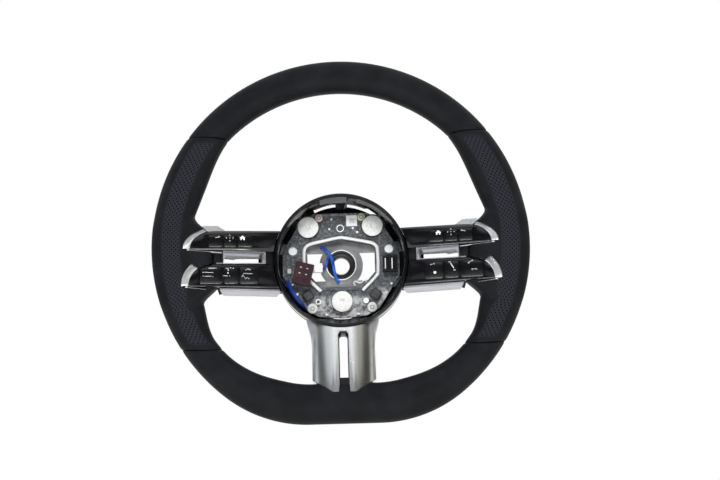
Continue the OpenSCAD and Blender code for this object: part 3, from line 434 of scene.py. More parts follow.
def leather_finish(name, perforated):
    """Dull black leather, with rows of small holes when perforated, in a band whose sheen between the holes
    is painted as a paler colour.
    """
    leather = Finish(name, (0.01, 0.01, 0.01), 0.5, Specular_IOR_Level=0.15)
    u, v, _ = leather.parts(leather.chart())
    place = leather.place()
    pores = leather.cells(place, 1150, "SMOOTH_F1") + 0.5 * leather.noise(place, 2400)
    height = pores * 0.5 + 0.5 * leather.noise(place, 260)
    tone = leather.noise(place, 38).step(0.35, 0.7)
    colour = leather.blend(tone, (0.0045, 0.005, 0.0062, 1), (0.0075, 0.0082, 0.01, 1))
    seam = 10
    for turn in cover_seams:
        away = (u / MM - radians(turn) * grip_radius).maths("ABSOLUTE")
        seam = away.maths("MINIMUM", seam)
    leather.paint(Roughness=0.46 + 0.14 * pores)
    if perforated:
        band = 1 - (v / MM - band_middle).maths("ABSOLUTE").step(band_half - 1.5, band_half + 1.5)
        ends = seam.step(4, 9)
        # Painted sheen: the leather between the holes is given a paler colour across the band
        colour = leather.blend(band * ends, colour, (0.014, 0.0153, 0.02, 1))
        pitch = hole_pitch * sqrt(2)
        rows = ((u + v) / (pitch * MM)).maths("FRACT") - 0.5
        columns = ((u - v) / (pitch * MM)).maths("FRACT") - 0.5
        away = (rows * rows + columns * columns).maths("SQRT") * pitch
        hole = (1 - away.step(hole_size / 2 - 0.12, hole_size / 2 + 0.25)) * band.step(0.4, 0.6)
        hole = hole * ends.step(0.3, 0.6)
        height = height - hole * 2.0
    # Painted shade: the leather's colour darkens to black along each seam, as the shadow in its crease
    colour = leather.blend(1 - seam.step(0.4, 1.0), colour, (0.001, 0.001, 0.001, 1))
    leather.paint(Base_Color=colour, Normal=leather.bump(height, 0.00014, 0.5))
    if perforated:
        leather.layer(hole, (0.0005, 0.0005, 0.0006), 0.9, specular=0.0)
    return leather


# Openings in the grips' leather for the decks and the silver blades at their ends. A
# spoke's outlines lie in its own frame, in millimetres out from the hub and up.
spoke_sweep = radians(12.5)
spoke_start = Vector((65, -68, 0))
spoke_turn = Matrix.Rotation(-spoke_sweep, 4, "Z")
mirror_x = Matrix.Scale(-1, 4, (1, 0, 0))
sides = {"left": mirror_x, "right": Matrix.Identity(4)}
millimetres = Matrix.Scale(MM, 4)
on_spoke = millimetres @ Matrix.Translation(spoke_start) @ spoke_turn
opening_gap = 0.3
blade_gap = 0.3
blade_width = 7.5


def along(x):
    return (x - spoke_start.x) / cos(spoke_sweep)


# The ellipses that end the decks: the middle across and up, then half the width and height
upper_end = (along(120), 12, 26.5 / cos(spoke_sweep), 18.3)
lower_end = (along(124), -24.5, 24.5 / cos(spoke_sweep), 22.1)


def end_curve(end, wider, higher, start, stop):
    """Points on the elliptical end of a deck, from one angle to another."""
    steps = 24
    x, z, across, up = end
    turns = [radians(start + (stop - start) * k / steps) for k in range(steps + 1)]
    return [(x + (across + wider) * cos(a), z + (up + higher) * sin(a)) for a in turns]


def deck_outline(end, top, foot, end_foot, grow):
    """Outline of a deck, grown by a gap."""
    start = [(-10, foot - grow), (-10, top + grow)]
    return start + end_curve(end, grow, grow, 90, 0) + [(end[0] + end[2] - 2, end_foot - grow)]


def blade_outline(end, height, stop, grow):
    """Outline of the crescent of a blade round a deck's end, grown by a gap."""
    inner = end_curve(end, blade_gap - grow, blade_gap - grow, 6, stop)
    outer = end_curve(end, blade_width + grow, height + grow, stop - 2, 0)
    return inner + outer + [(end[0] + end[2] + blade_gap, end[1] + 0.2 - grow)]


upper_tail = ((along(116), 8.2), (upper_end[0] + upper_end[2] + blade_gap, 11.3))
lower_tail = ((along(132), -28.1), (lower_end[0] + lower_end[2] + blade_gap, -25.2))


def tail_outline(tail, gap):
    """Where the thin tail of a blade runs in under its deck."""
    (x, z), (tip_x, tip_z) = tail
    low = tip_z - 1 - gap
    high = tip_z + 1.2 + gap
    return [(x - gap, z - gap), (tip_x, low), (tip_x + 3 + gap, low), (tip_x + 3 + gap, high),
            (tip_x - 3, high), (x - gap, z + 4 + gap)]


upper_deck = (upper_end, 30.3, 9.2, 11.4)
lower_deck = (lower_end, -2.4, -27, -24.9)
upper_blade = (upper_end, 3.15, 68)
lower_blade = (lower_end, 8.6, 50)
deck_openings = [deck_outline(*deck, opening_gap) for deck in (upper_deck, lower_deck)]
blade_openings = [blade_outline(*blade, opening_gap) for blade in (upper_blade, lower_blade)]
blade_openings += [tail_outline(tail, opening_gap) for tail in (upper_tail, lower_tail)]
opening_front = -30
deck_opening_rear = 9.3
blade_opening_rear = 7.3
fork_opening_rear = 14.3

# The lower spoke's own frame, and the opening that its fork lies in, whose two legs
# leave a tongue of leather between them
fork_sweep = radians(16.05)
fork_end = -70.55
fork_shoulder = fork_end + 15
leg_outer = 31
leg_inner = 5.2
on_fork = (millimetres @ Matrix.Translation((0, -65, -63))
           @ Matrix.Rotation(-fork_sweep, 4, "X"))


def fork_outline(gap):
    """Outline of both legs of the fork, grown by a gap."""
    half = [(37 + gap, 14), (35 + gap, 2), (32 + gap, -9), (leg_outer + gap, -20),
            (leg_outer + gap, fork_shoulder), (11 + gap, fork_end - gap),
            (leg_inner - gap, fork_end - gap), (leg_inner - gap, fork_shoulder - 2)]
    return half + [(-x, z) for x, z in reversed(half)]


def slab(outline, front, rear, place):
    """A flat outline given thickness, from front to rear of the spoke's face."""
    bm = bmesh.new()
    flat = bm.faces.new([bm.verts.new((x, front, z)) for x, z in outline])
    grown = bmesh.ops.extrude_face_region(bm, geom=[flat])
    moved = [item for item in grown["geom"] if isinstance(item, bmesh.types.BMVert)]
    bmesh.ops.translate(bm, verts=moved, vec=(0, rear - front, 0))
    bmesh.ops.transform(bm, matrix=place, verts=bm.verts)
    bmesh.ops.recalc_face_normals(bm, faces=bm.faces)
    return bm


def cut(piece, cutters):
    """Takes each cutter out of the piece, and keeps the piece's chart."""
    for bm in cutters:
        mesh = bpy.data.meshes.new("cutter")
        bm.to_mesh(mesh)
        bm.free()
        cutter = bpy.data.objects.new("cutter", mesh)
        bpy.context.scene.collection.objects.link(cutter)
        modifier = piece.modifiers.new("cut", "BOOLEAN")
        modifier.operation = "DIFFERENCE"
        modifier.solver = "MANIFOLD"
        modifier.object = cutter
        bpy.context.view_layer.update()
        ready = piece.evaluated_get(bpy.context.evaluated_depsgraph_get())
        result = bpy.data.meshes.new_from_object(ready)
        piece.modifiers.clear()
        piece.data = result
        bpy.data.objects.remove(cutter)


smooth_leather = leather_finish("smooth_leather", False)
perforated_leather = leather_finish("perforated_leather", True)
panels = {
    "leather_top": (top_seam, 180 - top_seam, smooth_leather, "smooth_leather"),
    "leather_left": (180 - top_seam, 180 - low_seam, perforated_leather, "perforated_leather"),
    "leather_bottom": (180 - low_seam, 360 + low_seam, smooth_leather, "smooth_leather"),
    "leather_right": (low_seam, top_seam, perforated_leather, "perforated_leather"),
}
for node, (first, last, finish, slot) in panels.items():
    skin = leather_panel(node + "_cover", first, last, finish)
    for side, place in sides.items():
        if node.endswith(side):
            turned = place @ on_spoke
            for openings, rear in ((deck_openings, deck_opening_rear),
                                   (blade_openings, blade_opening_rear)):
                cut(skin, [slab(outline, opening_front, rear, turned) for outline in openings])
    if node == "leather_bottom":
        cut(skin, [slab(fork_outline(opening_gap), opening_front, fork_opening_rear, on_fork)])
    for face in skin.data.polygons:
        face.use_smooth = True
    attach(skin, "wheel")
    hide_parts(node)


# The seam along the inside of the rim, sewn by hand with a black thread whose stitches
# slant across it, from spoke to spoke
stitch_pitch = 1.75
stitch_slant = radians(28)
stitch_length = 1.9
thread_radius = 0.45
fork_angle = -70
thread = Finish("black_thread", (0.02, 0.02, 0.023), 0.7)
twist = thread.noise(thread.place(), 3500)
thread.paint(Roughness=0.6 + 0.2 * twist, Normal=thread.bump(twist, 0.0001, 0.6))
stitches = bmesh.new()
for k in range(int(360 / stitch_pitch)):
    turn = k * stitch_pitch
    a = folded(turn)[1]
    if root(a) > 0.02 or a < fork_angle:
        continue
    spot = rim_point(turn, inner_seam, thread_radius)
    along_rim = (rim_point(turn + 0.2, inner_seam, thread_radius) - spot).normalized()
    across = (rim_point(turn, inner_seam + 0.1, thread_radius) - spot).normalized()
    long_way = across * cos(stitch_slant) + along_rim * sin(stitch_slant)
    outward = long_way.cross(along_rim).normalized()
    short_way = outward.cross(long_way)
    stretched = Matrix((long_way * stitch_length, short_way * thread_radius,
                        outward * thread_radius)).transposed().to_4x4()
    bmesh.ops.create_uvsphere(stitches, u_segments=7, v_segments=5, radius=MM,
                              matrix=Matrix.Translation(spot) @ stretched)
bmesh.ops.recalc_face_normals(stitches, faces=stitches.faces)
stitches = object_of("rim_stitches", stitches, thread)
stitches.data.shade_smooth()
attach(stitches, "wheel")


# The frame inside: a magnesium casting of a ring, four spoke bars and a hub web, with
# the rim's black foam moulded round its ring and a steel sleeve pressed into its boss
bodies = frame["record"]["behaviour"]["bodies"]
body_of = {node: body for body, nodes in bodies.items() for node in nodes}
sharp_edge = radians(28)


def rounded(node, finish, slot, radius, segments=2, twin=None):
    """A CAD piece, or its twin mirrored, with its sharp edges rounded a little."""
    bm = bmesh.new()
    bm.from_mesh(frame["nodes"][twin or node].data)
    bmesh.ops.remove_doubles(bm, verts=bm.verts, dist=3e-6)
    bmesh.ops.dissolve_limit(bm, angle_limit=radians(0.6), verts=bm.verts, edges=bm.edges)
    if radius:
        sharp = [edge for edge in bm.edges if edge.calc_face_angle(0) > sharp_edge]
        bmesh.ops.bevel(bm, geom=sharp, offset=radius * MM, offset_type="OFFSET", affect="EDGES",
                        segments=segments, profile=0.5, material=-1, clamp_overlap=True)
    if twin:
        bmesh.ops.transform(bm, matrix=mirror_x, verts=bm.verts)
        bmesh.ops.recalc_face_normals(bm, faces=bm.faces)
    return fitted(object_of(node + "_part", bm, finish), body_of[node], slot, node)


def fitted(piece, body, slot, *nodes):
    """Rides on its body, shades smoothly and stands for its CAD nodes."""
    if piece.type == "MESH":
        piece.data.shade_smooth()
        piece.data.set_sharp_from_angle(angle=radians(50))
    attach(piece, body)
    if nodes:
        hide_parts(*nodes)
    return piece


def grained(name, colour, roughness, metallic=0.0, scale=900, depth=0.00008, vary=0.25, **more):
    """A moulded, painted or cast surface with a fine grain and uneven sheen."""
    finish = Finish(name, colour, roughness, metallic, **more)
    place = finish.place()
    fine = finish.noise(place, scale)
    broad = finish.noise(place, 55)
    light = tuple(min(c * (1 + vary), 1) for c in colour) + (1,)
    dark = tuple(c * (1 - vary) for c in colour) + (1,)
    finish.paint(Base_Color=finish.blend(broad.step(0.3, 0.7), dark, light),
                 Roughness=(roughness - 0.08 + 0.16 * fine).clip(0.03, 1),
                 Normal=finish.bump(fine, depth, 0.5))
    return finish


def block(bm, place, size):
    """A plain block about a place, in the place's own directions."""
    bmesh.ops.create_cube(bm, size=1, matrix=place @ Matrix.Diagonal((*size, 1)))


magnesium = grained("cast_magnesium", (0.25, 0.255, 0.26), 0.45, 0.6, 700, 0.0003)
rounded("armature", magnesium, "magnesium", 0.5)
black_foam = grained("moulded_foam", (0.03, 0.03, 0.032), 0.8, 0, 1200)
rounded("rim_foam", black_foam, "foam", 0)
turned_steel = grained("turned_steel", (0.6, 0.61, 0.62), 0.3, 1.0, 1500, 0.00003, 0.1)
blued_steel = grained("blued_steel", (0.05, 0.05, 0.055), 0.35, 0.8, 1500, 0.00003, 0.1)
rounded("hub_sleeve", blued_steel, "steel", 0.4)

# Splines down the sleeve's bore, broached in the steel, which fit the splined end of
# the column
bore_radius = 9
tooth_count = 44
tooth_size = (0.55, 13, 0.6)
tooth_place = Matrix.Translation((0, -8, bore_radius - 0.2))
splines = bmesh.new()
for k in range(tooth_count):
    turned = Matrix.Rotation(2 * pi * k / tooth_count, 4, "Y")
    block(splines, millimetres @ turned @ tooth_place, tooth_size)
fitted(object_of("bore_splines", splines, blued_steel), "wheel", "steel")

# The black cover behind the hub, moulded in one with an ear round the root of each
# spoke, and held against the frame from behind
matt_black = grained("matt_black_moulding", (0.012, 0.012, 0.014), 0.5, Specular_IOR_Level=0.2)
cover_black = grained("cover_moulding", (0.008, 0.008, 0.009), 0.6, Specular_IOR_Level=0.04)
cover = rounded("rear_cover", cover_black, "matt_black", 0.5)

# The gloss black ring round the hub pocket, with two strips of grey felt inside its top.
# Two gaps above the plate, through the ring's back and the cover, let the light through.
gloss_black = grained("gloss_black", (0.003, 0.003, 0.004), 0.1, 0, 300, 0.00001,
                      Specular_IOR_Level=0.35)
bezel = rounded("hub_bezel", gloss_black, "gloss_black", 0.5)
light_gaps = ((94, 115), (52, 83))
bezel_wall = (52, 60)
bezel_depths = (-45, -33)
cover_wall = (60.9, 65)
cover_depths = (-22, 1)


def sector(inner, outer, start, stop, rise=0):
    """A piece of a ring round the hub's axis, or round one that lies higher."""
    steps = 16
    turns = [radians(start + (stop - start) * k / steps) for k in range(steps + 1)]
    far = [(outer * cos(a), rise + outer * sin(a)) for a in turns]
    return far + [(inner * cos(a), rise + inner * sin(a)) for a in reversed(turns)]


cut(bezel, [slab(sector(*bezel_wall, *gap), *bezel_depths, millimetres) for gap in light_gaps])
cut(cover, [slab(sector(*cover_wall, *gap), *cover_depths, millimetres) for gap in light_gaps])

# The cuts gave both new meshes, which are shaded as the first ones were
fitted(cover, "wheel", "matt_black")
fitted(bezel, "wheel", "gloss_black")

felt = Finish("grey_felt", (0.16, 0.165, 0.175), 0.9)
fibre = felt.noise(felt.place(), 1800, 5)
felt.paint(Base_Color=felt.blend(fibre.step(0.35, 0.65), (0.13, 0.135, 0.145, 1), (0.24, 0.245, 0.255, 1)),
           Normal=felt.bump(fibre, 0.0003, 0.7))


def faces_of(node):
    """A CAD piece's own faces, for rays to meet."""
    data = frame["nodes"][node].data
    corners = [vert.co.copy() for vert in data.vertices]
    return BVHTree.FromPolygons(corners, [tuple(face.vertices) for face in data.polygons])


ring_wall = faces_of("hub_bezel")
felt_arcs = ((83.5, 108.5), (47.5, 74.5))
felt_front = -61.5
felt_width = 15.5
felt_thick = 0.6
patches = bmesh.new()
for first, last in felt_arcs:
    patch = bmesh.ops.create_grid(patches, x_segments=30, y_segments=12, size=0.5)["verts"]
    for vert in patch:
        a = radians(first + (last - first) * (vert.co.x + 0.5))
        depth = (felt_front + felt_width * (vert.co.y + 0.5)) * MM
        outward = Vector((cos(a), 0, sin(a)))
        wall = ring_wall.ray_cast(Vector((0, depth, 0)), outward)[3]
        vert.co = Vector((0, depth, 0)) + outward * (wall - 0.05 * MM)
bmesh.ops.recalc_face_normals(patches, faces=patches.faces)
bmesh.ops.solidify(patches, geom=patches.faces[:], thickness=felt_thick * MM)
bmesh.ops.recalc_face_normals(patches, faces=patches.faces)
fitted(object_of("felt_patches", patches, felt), "wheel", "grey_felt", "felt_strips")

# The plate in the pocket, moulded in glass-filled nylon: its skin is mottled, and a painted
# sheen turns its colour pale grey in clouds round the lower pad and at the right
hub_radius = 66.5
plate_front = 24


def in_hub(inset, turn):
    """A place in the pocket: its distance from the hub's edge, and its direction."""
    r = hub_radius - inset
    return (r * cos(radians(turn)), r * sin(radians(turn)))


nylon = Finish("glass_filled_nylon", (0.07, 0.075, 0.08), 0.4)
place = nylon.place()
x, _, z = nylon.parts(place)
specks = nylon.noise(place, 420, 4)
cloud = nylon.noise(place, 150, 4, 0.65)
# Painted sheen: where these masks meet, the plate's colour turns pale grey
low_part = (1 - (z / MM).step(-36, -30)) * (1 - (x / MM).maths("ABSOLUTE").step(26, 33))
right_part = (x / MM).step(34, 38) * (1 - (z / MM).step(-28, -22)) * (z / MM).step(-44, -40)
painted_sheen = (low_part + right_part).clip(0, 1) * cloud.step(0.38, 0.62)
dull = nylon.blend(specks.step(0.42, 0.72), (0.052, 0.058, 0.065, 1), (0.19, 0.2, 0.215, 1))
nylon.paint(Base_Color=nylon.blend(painted_sheen, dull, (0.46, 0.47, 0.47, 1)),
            Roughness=0.3 + 0.25 * cloud, Normal=nylon.bump(specks + cloud, 0.0003, 0.55))
rounded("carrier_plate", nylon, "carrier_grey", 0.3)

# White ends of the plate's heat stakes, painted highlights for the glints on their heads,
# caps in its guide holes and on its right stud, and pale rims round two of its holes and round the sleeve's
# mouth
white_nylon = grained("white_nylon", (0.82, 0.82, 0.82), 0.4, 0, 900, 0.00005, 0.05)
stake_places = [in_hub(19.3, 100.6), in_hub(28.4, 107), in_hub(27.5, 71), in_hub(29.6, 62.5),
                in_hub(13.4, -158.7), in_hub(12.9, -147), in_hub(12.2, -22.2), in_hub(12.2, -33),
                in_hub(13.6, -107.7), in_hub(13.6, -72.3)]
stake_radius = 1.15
guide_radius = 4.3
stud = (24, 29.2 - hub_radius)


def post(bm, spot, radius, front, rear, facets=24):
    """A round post between two depths, at a spot given in millimetres across and up."""
    middle = Vector((spot[0], (front + rear) / 2, spot[1])) * MM
    bmesh.ops.create_cone(bm, cap_ends=True, segments=facets, radius1=radius * MM,
                          radius2=radius * MM, depth=(rear - front) * MM,
                          matrix=Matrix.Translation(middle) @ Matrix.Rotation(pi / 2, 4, "X"))


ends = bmesh.new()
# The stakes' white ends are painted highlights, standing for glints on their heads
for spot in stake_places:
    post(ends, spot, stake_radius, -plate_front - 1.0, -plate_front - 0.7, facets=16)
for side in (-1, 1):
    guide = (side * (hub_radius - 18), 15)
    post(ends, guide, guide_radius, 0.3 - plate_front, 4.5 - plate_front)
post(ends, stud, 2.8, -plate_front - 2.1, -plate_front - 1.55)
fitted(object_of("stake_glints_and_caps", ends, white_nylon), "wheel", "white_plastic")


def ring(bm, spot, inner, outer, front, rear):
    """A flat ring between two depths."""
    section = [(inner, front), (outer, front), (outer, rear), (inner, rear)]
    corners = [bm.verts.new(Vector((spot[0] + r, y, spot[1])) * MM) for r, y in section]
    edges = [bm.edges.new((corners[k], corners[k - 1])) for k in range(4)]
    bmesh.ops.spin(bm, geom=corners + edges, cent=Vector((spot[0], 0, spot[1])) * MM,
                   axis=(0, 1, 0), angle=2 * pi, steps=32, use_merge=True)


rings = bmesh.new()
ring(rings, (0, 0), 14.6, 15.4, -20.3, -19.9)
ring(rings, (0, hub_radius - 29.7), 2.9, 3.8, -plate_front - 1.75, -plate_front - 1.5)
ring(rings, (-stud[0], stud[1]), 1.8, 2.8, -plate_front - 1.75, -plate_front - 1.5)
bmesh.ops.recalc_face_normals(rings, faces=rings.faces)
fitted(object_of("pale_rims", rings, white_nylon), "wheel", "white_plastic")

# Four screws that hold the plate down: the upper two zinc plated, one pinkish and one
# greenish, the lower two larger and bright, each with a hexagon socket
screw_places = [in_hub(13.9, 114.1), in_hub(13.9, 65.9), in_hub(13.2, -124.3), in_hub(13.2, -55.7)]
zinc = Finish("zinc_plate", (0.8, 0.8, 0.78), 0.35, 0.5)
place = zinc.place()
x, _, z = zinc.parts(place)
scuff = zinc.noise(place, 600)
upper_tint = zinc.blend(x.step(-0.004, 0.004), (0.78, 0.62, 0.6, 1), (0.62, 0.68, 0.5, 1))
zinc.paint(Base_Color=zinc.blend((z / MM).step(-5, 5), (0.86, 0.86, 0.84, 1), upper_tint),
           Roughness=0.25 + 0.3 * scuff, Normal=zinc.bump(scuff, 0.0001, 0.4))
rounded("carrier_screws", zinc, "steel", 0.8, segments=3)
sockets = bmesh.new()
for spot in screw_places:
    ring(sockets, spot, 1.5, 2.1, -plate_front - 2.75, -plate_front - 2.55)
bmesh.ops.recalc_face_normals(sockets, faces=sockets.faces)
socket_grey = grained("socket_grey", (0.2, 0.19, 0.18), 0.45, 0.6, 700)
fitted(object_of("screw_sockets", sockets, socket_grey), "wheel", "steel")

# The bent spring wire that the airbag module snaps onto, drawn and polished, which lies
# on the plate's front
bright_wire = grained("bright_wire", (0.9, 0.9, 0.9), 0.35, 0.35, 2000, 0.00002, 0.04)
wire_radius = 1.75


def middle_of(node):
    low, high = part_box(node)
    return (Vector(low) + Vector(high)) / 2


def both_halves(half):
    """A route in the pocket's right half, and on through its mirror image."""
    right = [in_hub(*place) for place in half]
    left = [in_hub(inset, 180 - turn) for inset, turn in reversed(half) if turn < 90]
    return right + left


def bent_tube(name, route, radius, finish, slot, *nodes):
    """A round wire or lead along a route of points, in millimetres, in smooth bends."""
    data = bpy.data.curves.new(name, "CURVE")
    data.dimensions = "3D"
    data.bevel_depth = radius * MM
    data.bevel_resolution = 4
    data.use_fill_caps = True
    spline = data.splines.new("NURBS")
    spline.points.add(len(route) - 1)
    for point, place in zip(spline.points, route):
        point.co = (place[0] * MM, place[1] * MM, place[2] * MM, 1)
    spline.order_u = 3
    spline.use_endpoint_u = True
    spline.resolution_u = 8
    data.materials.append(finish.material)
    piece = bpy.data.objects.new(name, data)
    bpy.context.scene.collection.objects.link(piece)
    return fitted(piece, "wheel", slot, *nodes)


wire_depth = middle_of("retainer_wire").y / MM
wire_route = both_halves([(32.3, -52.1), (28.4, -19.1), (28.1, -14.3), (26.75, 20.6), (26.3, 25.8),
                          (27.65, 31.8), (30.9, 38.2), (39.3, 83.7), (39.2, 90)])
bent_tube("retainer_wire_bent", [(x, wire_depth, z) for x, z in wire_route], wire_radius,
          bright_wire, "bright_wire", "retainer_wire")

# The three horn pads, cast and tumbled, each on a coil spring that the press flattens
tumbled = Finish("tumbled_casting", (0.7, 0.7, 0.68), 0.45, 0.35)
place = tumbled.place()
pits = tumbled.cells(place, 1300) + 0.7 * tumbled.noise(place, 700, 5)
tumbled.paint(Base_Color=tumbled.blend(pits.step(0.35, 0.95), (0.6, 0.61, 0.6, 1), (0.95, 0.95, 0.93, 1)),
              Roughness=0.35 + 0.2 * pits, Normal=tumbled.bump(pits, 0.0004, 0.6))
for pad in ("left", "right", "lower"):
    rounded("horn_pad_" + pad, tumbled, "pad_metal", 0.5)
    coil = rounded("horn_spring_" + pad, turned_steel, "steel", 0)
    spot = middle_of("horn_spring_" + pad)
    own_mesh(coil)

# The airbag's lead connector with the ends of its contacts, its white plug, and the
# leads in their woven blue sleeves
plum = grained("plum_nylon", (0.034, 0.014, 0.018), 0.45, Specular_IOR_Level=0.3)
rounded("lead_connector", plum, "connector_plum", 0.5)
tin = grained("tinned_contacts", (0.75, 0.72, 0.72), 0.3, 0.5, 900)
turned_block = Matrix.Translation((28 - hub_radius, 0, -9.5)) @ Matrix.Rotation(radians(15), 4, "Y")
block_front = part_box("lead_connector")[0][1] / MM
contact_size = (1.9, 0.9, 1.0)
contacts = bmesh.new()
for x in (-3.5, 3):
    for z in (-0.2, 5.8):
        spot = Matrix.Translation((x, block_front + 0.9, z))
        block(contacts, millimetres @ turned_block @ spot, contact_size)
fitted(object_of("connector_contacts", contacts, tin), "wheel", "steel")
rounded("white_plug", white_nylon, "white_plastic", 0.8)

blue_sleeve = Finish("blue_sleeve", (0.01, 0.06, 0.4), 0.35)
place = blue_sleeve.place()
weave = blue_sleeve.cells(place, 1500, "SMOOTH_F1")
shade = blue_sleeve.noise(place, 110).step(0.35, 0.65)
blue_sleeve.paint(Base_Color=blue_sleeve.blend(shade, (0.008, 0.04, 0.3, 1), (0.025, 0.14, 0.62, 1)),
                  Roughness=0.3 + 0.25 * weave, Normal=blue_sleeve.bump(weave, 0.0003, 0.6))
long_lead = [(-20.5, -22.6, 18), (-18, -23.2, 17.2), (-15.2, -23.8, 15.2), (-12.4, -24, 12.2),
             (-10.2, -23.6, 8.6), (-8.7, -23, 4), (-7.8, -22.6, -1), (-7.2, -22.4, -6),
             (-6.2, -22.4, -11), (-4.8, -22.4, -15.5), (-2.6, -22.2, -19)]
plug_lead = [(-18.5, -23, -3), (-17.3, -23, -2.9), (-16, -23.6, -1.6), (-15, -24.4, 0.8),
             (-14.2, -24.9, 3.6), (-13.4, -25.2, 6.2), (-12.3, -25.6, 8.4)]
horn_route = [(-54.4, -28.4, -16.4), (-53.4, -31.5, -19.6), (-51.4, -37, -24.6), (-49, -41.5, -29.6),
              (-46, -44.5, -34.6), (-42.6, -44.6, -39), (-39.6, -41, -42.2), (-37.6, -35.5, -43.6),
              (-37, -30, -43.4)]
horn_blue = grained("horn_lead_blue", (0.01, 0.025, 0.17), 0.3, 0, 900, 0.0001)
bent_tube("long_lead", long_lead, 1.6, blue_sleeve, "blue_sleeve", "airbag_leads")
bent_tube("plug_lead", plug_lead, 1.3, blue_sleeve, "blue_sleeve")
bent_tube("horn_lead_bent", horn_route, 2.2, horn_blue, "blue_sleeve", "horn_lead")

# The socket of the clock spring with its bright tongues, a bright wire clip in the
# plate's window, the rubber dampers, a clip's pale window and the bare white label
rounded("contact_socket", matt_black, "matt_black", 0.3)
socket_low, socket_high = (Vector(corner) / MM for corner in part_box("contact_socket"))
tongue_size = (0.9, 6, 11)
tongues = bmesh.new()
for x in (2.4, 9.2):
    middle = (socket_low.x + x, socket_low.y + 3.5, (socket_low.z + socket_high.z) / 2)
    block(tongues, millimetres @ Matrix.Translation(middle), tongue_size)
fitted(object_of("socket_tongues", tongues, bright_wire), "wheel", "bright_wire")

dark_rubber = grained("dark_rubber", (0.03, 0.031, 0.033), 0.6)
rounded("damper_pads", dark_rubber, "dark_rubber", 0.6)
lit_ridge_rubber = grained("lit_ridge_rubber", (0.09, 0.095, 0.1), 0.6)
# The ridges are paler than the rubber round them: a painted highlight that shows their rings
for name, finish, steps in (("damper_ridges", lit_ridge_rubber, ((6.4, 6.4, 0.8), (2.8, 3.8, 1.4))),
                            ("damper_grooves", dark_rubber, ((5.2, 5.2, 1.1), (1.6, 2.6, 1.7)))):
    ridges = bmesh.new()
    for side in (-1, 1):
        turned = (Matrix.Translation((side * (hub_radius - 32.5), -plate_front - 4.2, 35.5 - hub_radius))
                  @ Matrix.Rotation(side * radians(35), 4, "Y"))
        for wide, high, deep in steps:
            block(ridges, millimetres @ turned, (wide, deep, high))
    fitted(object_of(name, ridges, finish), "wheel", "dark_rubber")
window = bmesh.new()
window_place = Matrix.Translation((14 - hub_radius, -plate_front - 2.45, -5.5))
block(window, millimetres @ window_place, (3.6, 0.5, 4.6))
fitted(object_of("clip_window", window, tin), "wheel", "white_plastic")

square = 1.4
chequered_half = 2.6
label = Finish("bare_label", (0.88, 0.88, 0.88), 0.5)
place = label.place()
x, _, z = label.parts(place)
squares = ((x / MM / square).maths("FLOOR") + (z / MM / square).maths("FLOOR")).maths("MODULO", 2)
beyond_x = (x / MM - 12).maths("ABSOLUTE").step(chequered_half, chequered_half + 0.1)
beyond_z = (z / MM - 44.5).maths("ABSOLUTE").step(chequered_half, chequered_half + 0.1)
grid = squares.maths("ABSOLUTE") * (1 - beyond_x) * (1 - beyond_z)
label.paint(Base_Color=label.blend(grid, (0.88, 0.88, 0.88, 1), (0.5, 0.51, 0.52, 1)),
            Roughness=0.45 + 0.1 * label.noise(place, 500))
rounded("blank_label", label, "paper_white", 0)

# The wire clip lies flat on the frame that is behind it
casting = faces_of("armature")
clip_radius = 0.8
ray_start = -60
clip_places = [(13.6, -21.4), (12.2, -19.6), (12.6, -17.4), (14.6, -16.6), (16.6, -18.2),
               (19, -18.6), (21.4, -17.6), (22.6, -15.8), (24.6, -16.2), (25, -18.2)]
hits = [casting.ray_cast(Vector((x, ray_start, z)) * MM, Vector((0, 1, 0)))[0]
        for x, z in clip_places]
clip_depth = min(hit.y for hit in hits if hit) / MM - clip_radius
clip_route = [(x, clip_depth, z) for x, z in clip_places]
bent_tube("window_clip", clip_route, clip_radius, bright_wire, "bright_wire")

# The side spokes: a moulded housing, satin silver liner and strip, and gloss black decks
# whose keys share one crowned face. Printed marks show what each key does.
silver_paint = grained("satin_silver_paint", (0.5, 0.5, 0.54), 0.3, 0.8, 1500, 0.00004, 0.08)
deck_gloss = grained("deck_gloss", (0.004, 0.004, 0.005), 0.09, 0, 300, 0.00001, Specular_IOR_Level=0.75)
key_gloss = grained("key_gloss", (0.005, 0.005, 0.006), 0.14, 0, 900, 0.00002, Specular_IOR_Level=0.75)
for side in sides:
    rounded("housing_" + side, matt_black, "matt_black", 0.4)
    rounded("gap_liner_" + side, silver_paint, "satin_silver", 0.15)
    for deck in ("upper_deck_", "lower_deck_"):
        twin = None if side == "left" else deck + "left"
        rounded(deck + side, deck_gloss, "gloss_black", 0.3, twin=twin)
    rounded("under_strip_" + side, silver_paint, "satin_silver", 0.4)
    for key in ("back_key", "touch_key", "home_key", "end_rocker", "mode_key", "star_key"):
        rounded(key + "_" + side, key_gloss, "key_black", 0.3)


def on_both_sides(name, outline, front, rear, place, finish, slot):
    """The same slab on the left and on the right."""
    both = bmesh.new()
    for side_place in sides.values():
        part = slab(outline, front, rear, side_place @ place)
        data = bpy.data.meshes.new("part")
        part.to_mesh(data)
        part.free()
        both.from_mesh(data)
        bpy.data.meshes.remove(data)
    return fitted(object_of(name, both, finish), "wheel", slot)


lip_outline = [(8.2, 5.3), (45.4, 5.3), (45.4, 7.4), (8.2, 6.8)]
on_both_sides("liner_lips", lip_outline, 25.3, 26, on_spoke, silver_paint, "satin_silver")
root_gap = sector(123.8, 128.4, -19.5, 8.4, rim_rise)
on_both_sides("root_gaskets", root_gap, -58.4, -56.8, millimetres, dark_rubber, "dark_rubber")

crown_radius = 70
paint_thick = 0.2
paint_sunk = 0.15
upper_middle = (upper_deck[1] + upper_deck[2]) / 2
lower_middle = (lower_deck[1] + lower_deck[2]) / 2


def disc(x, z, r):
    """A round dot about a middle."""
    count = 14
    return [(x + r * cos(2 * pi * k / count), z + r * sin(2 * pi * k / count)) for k in range(count)]


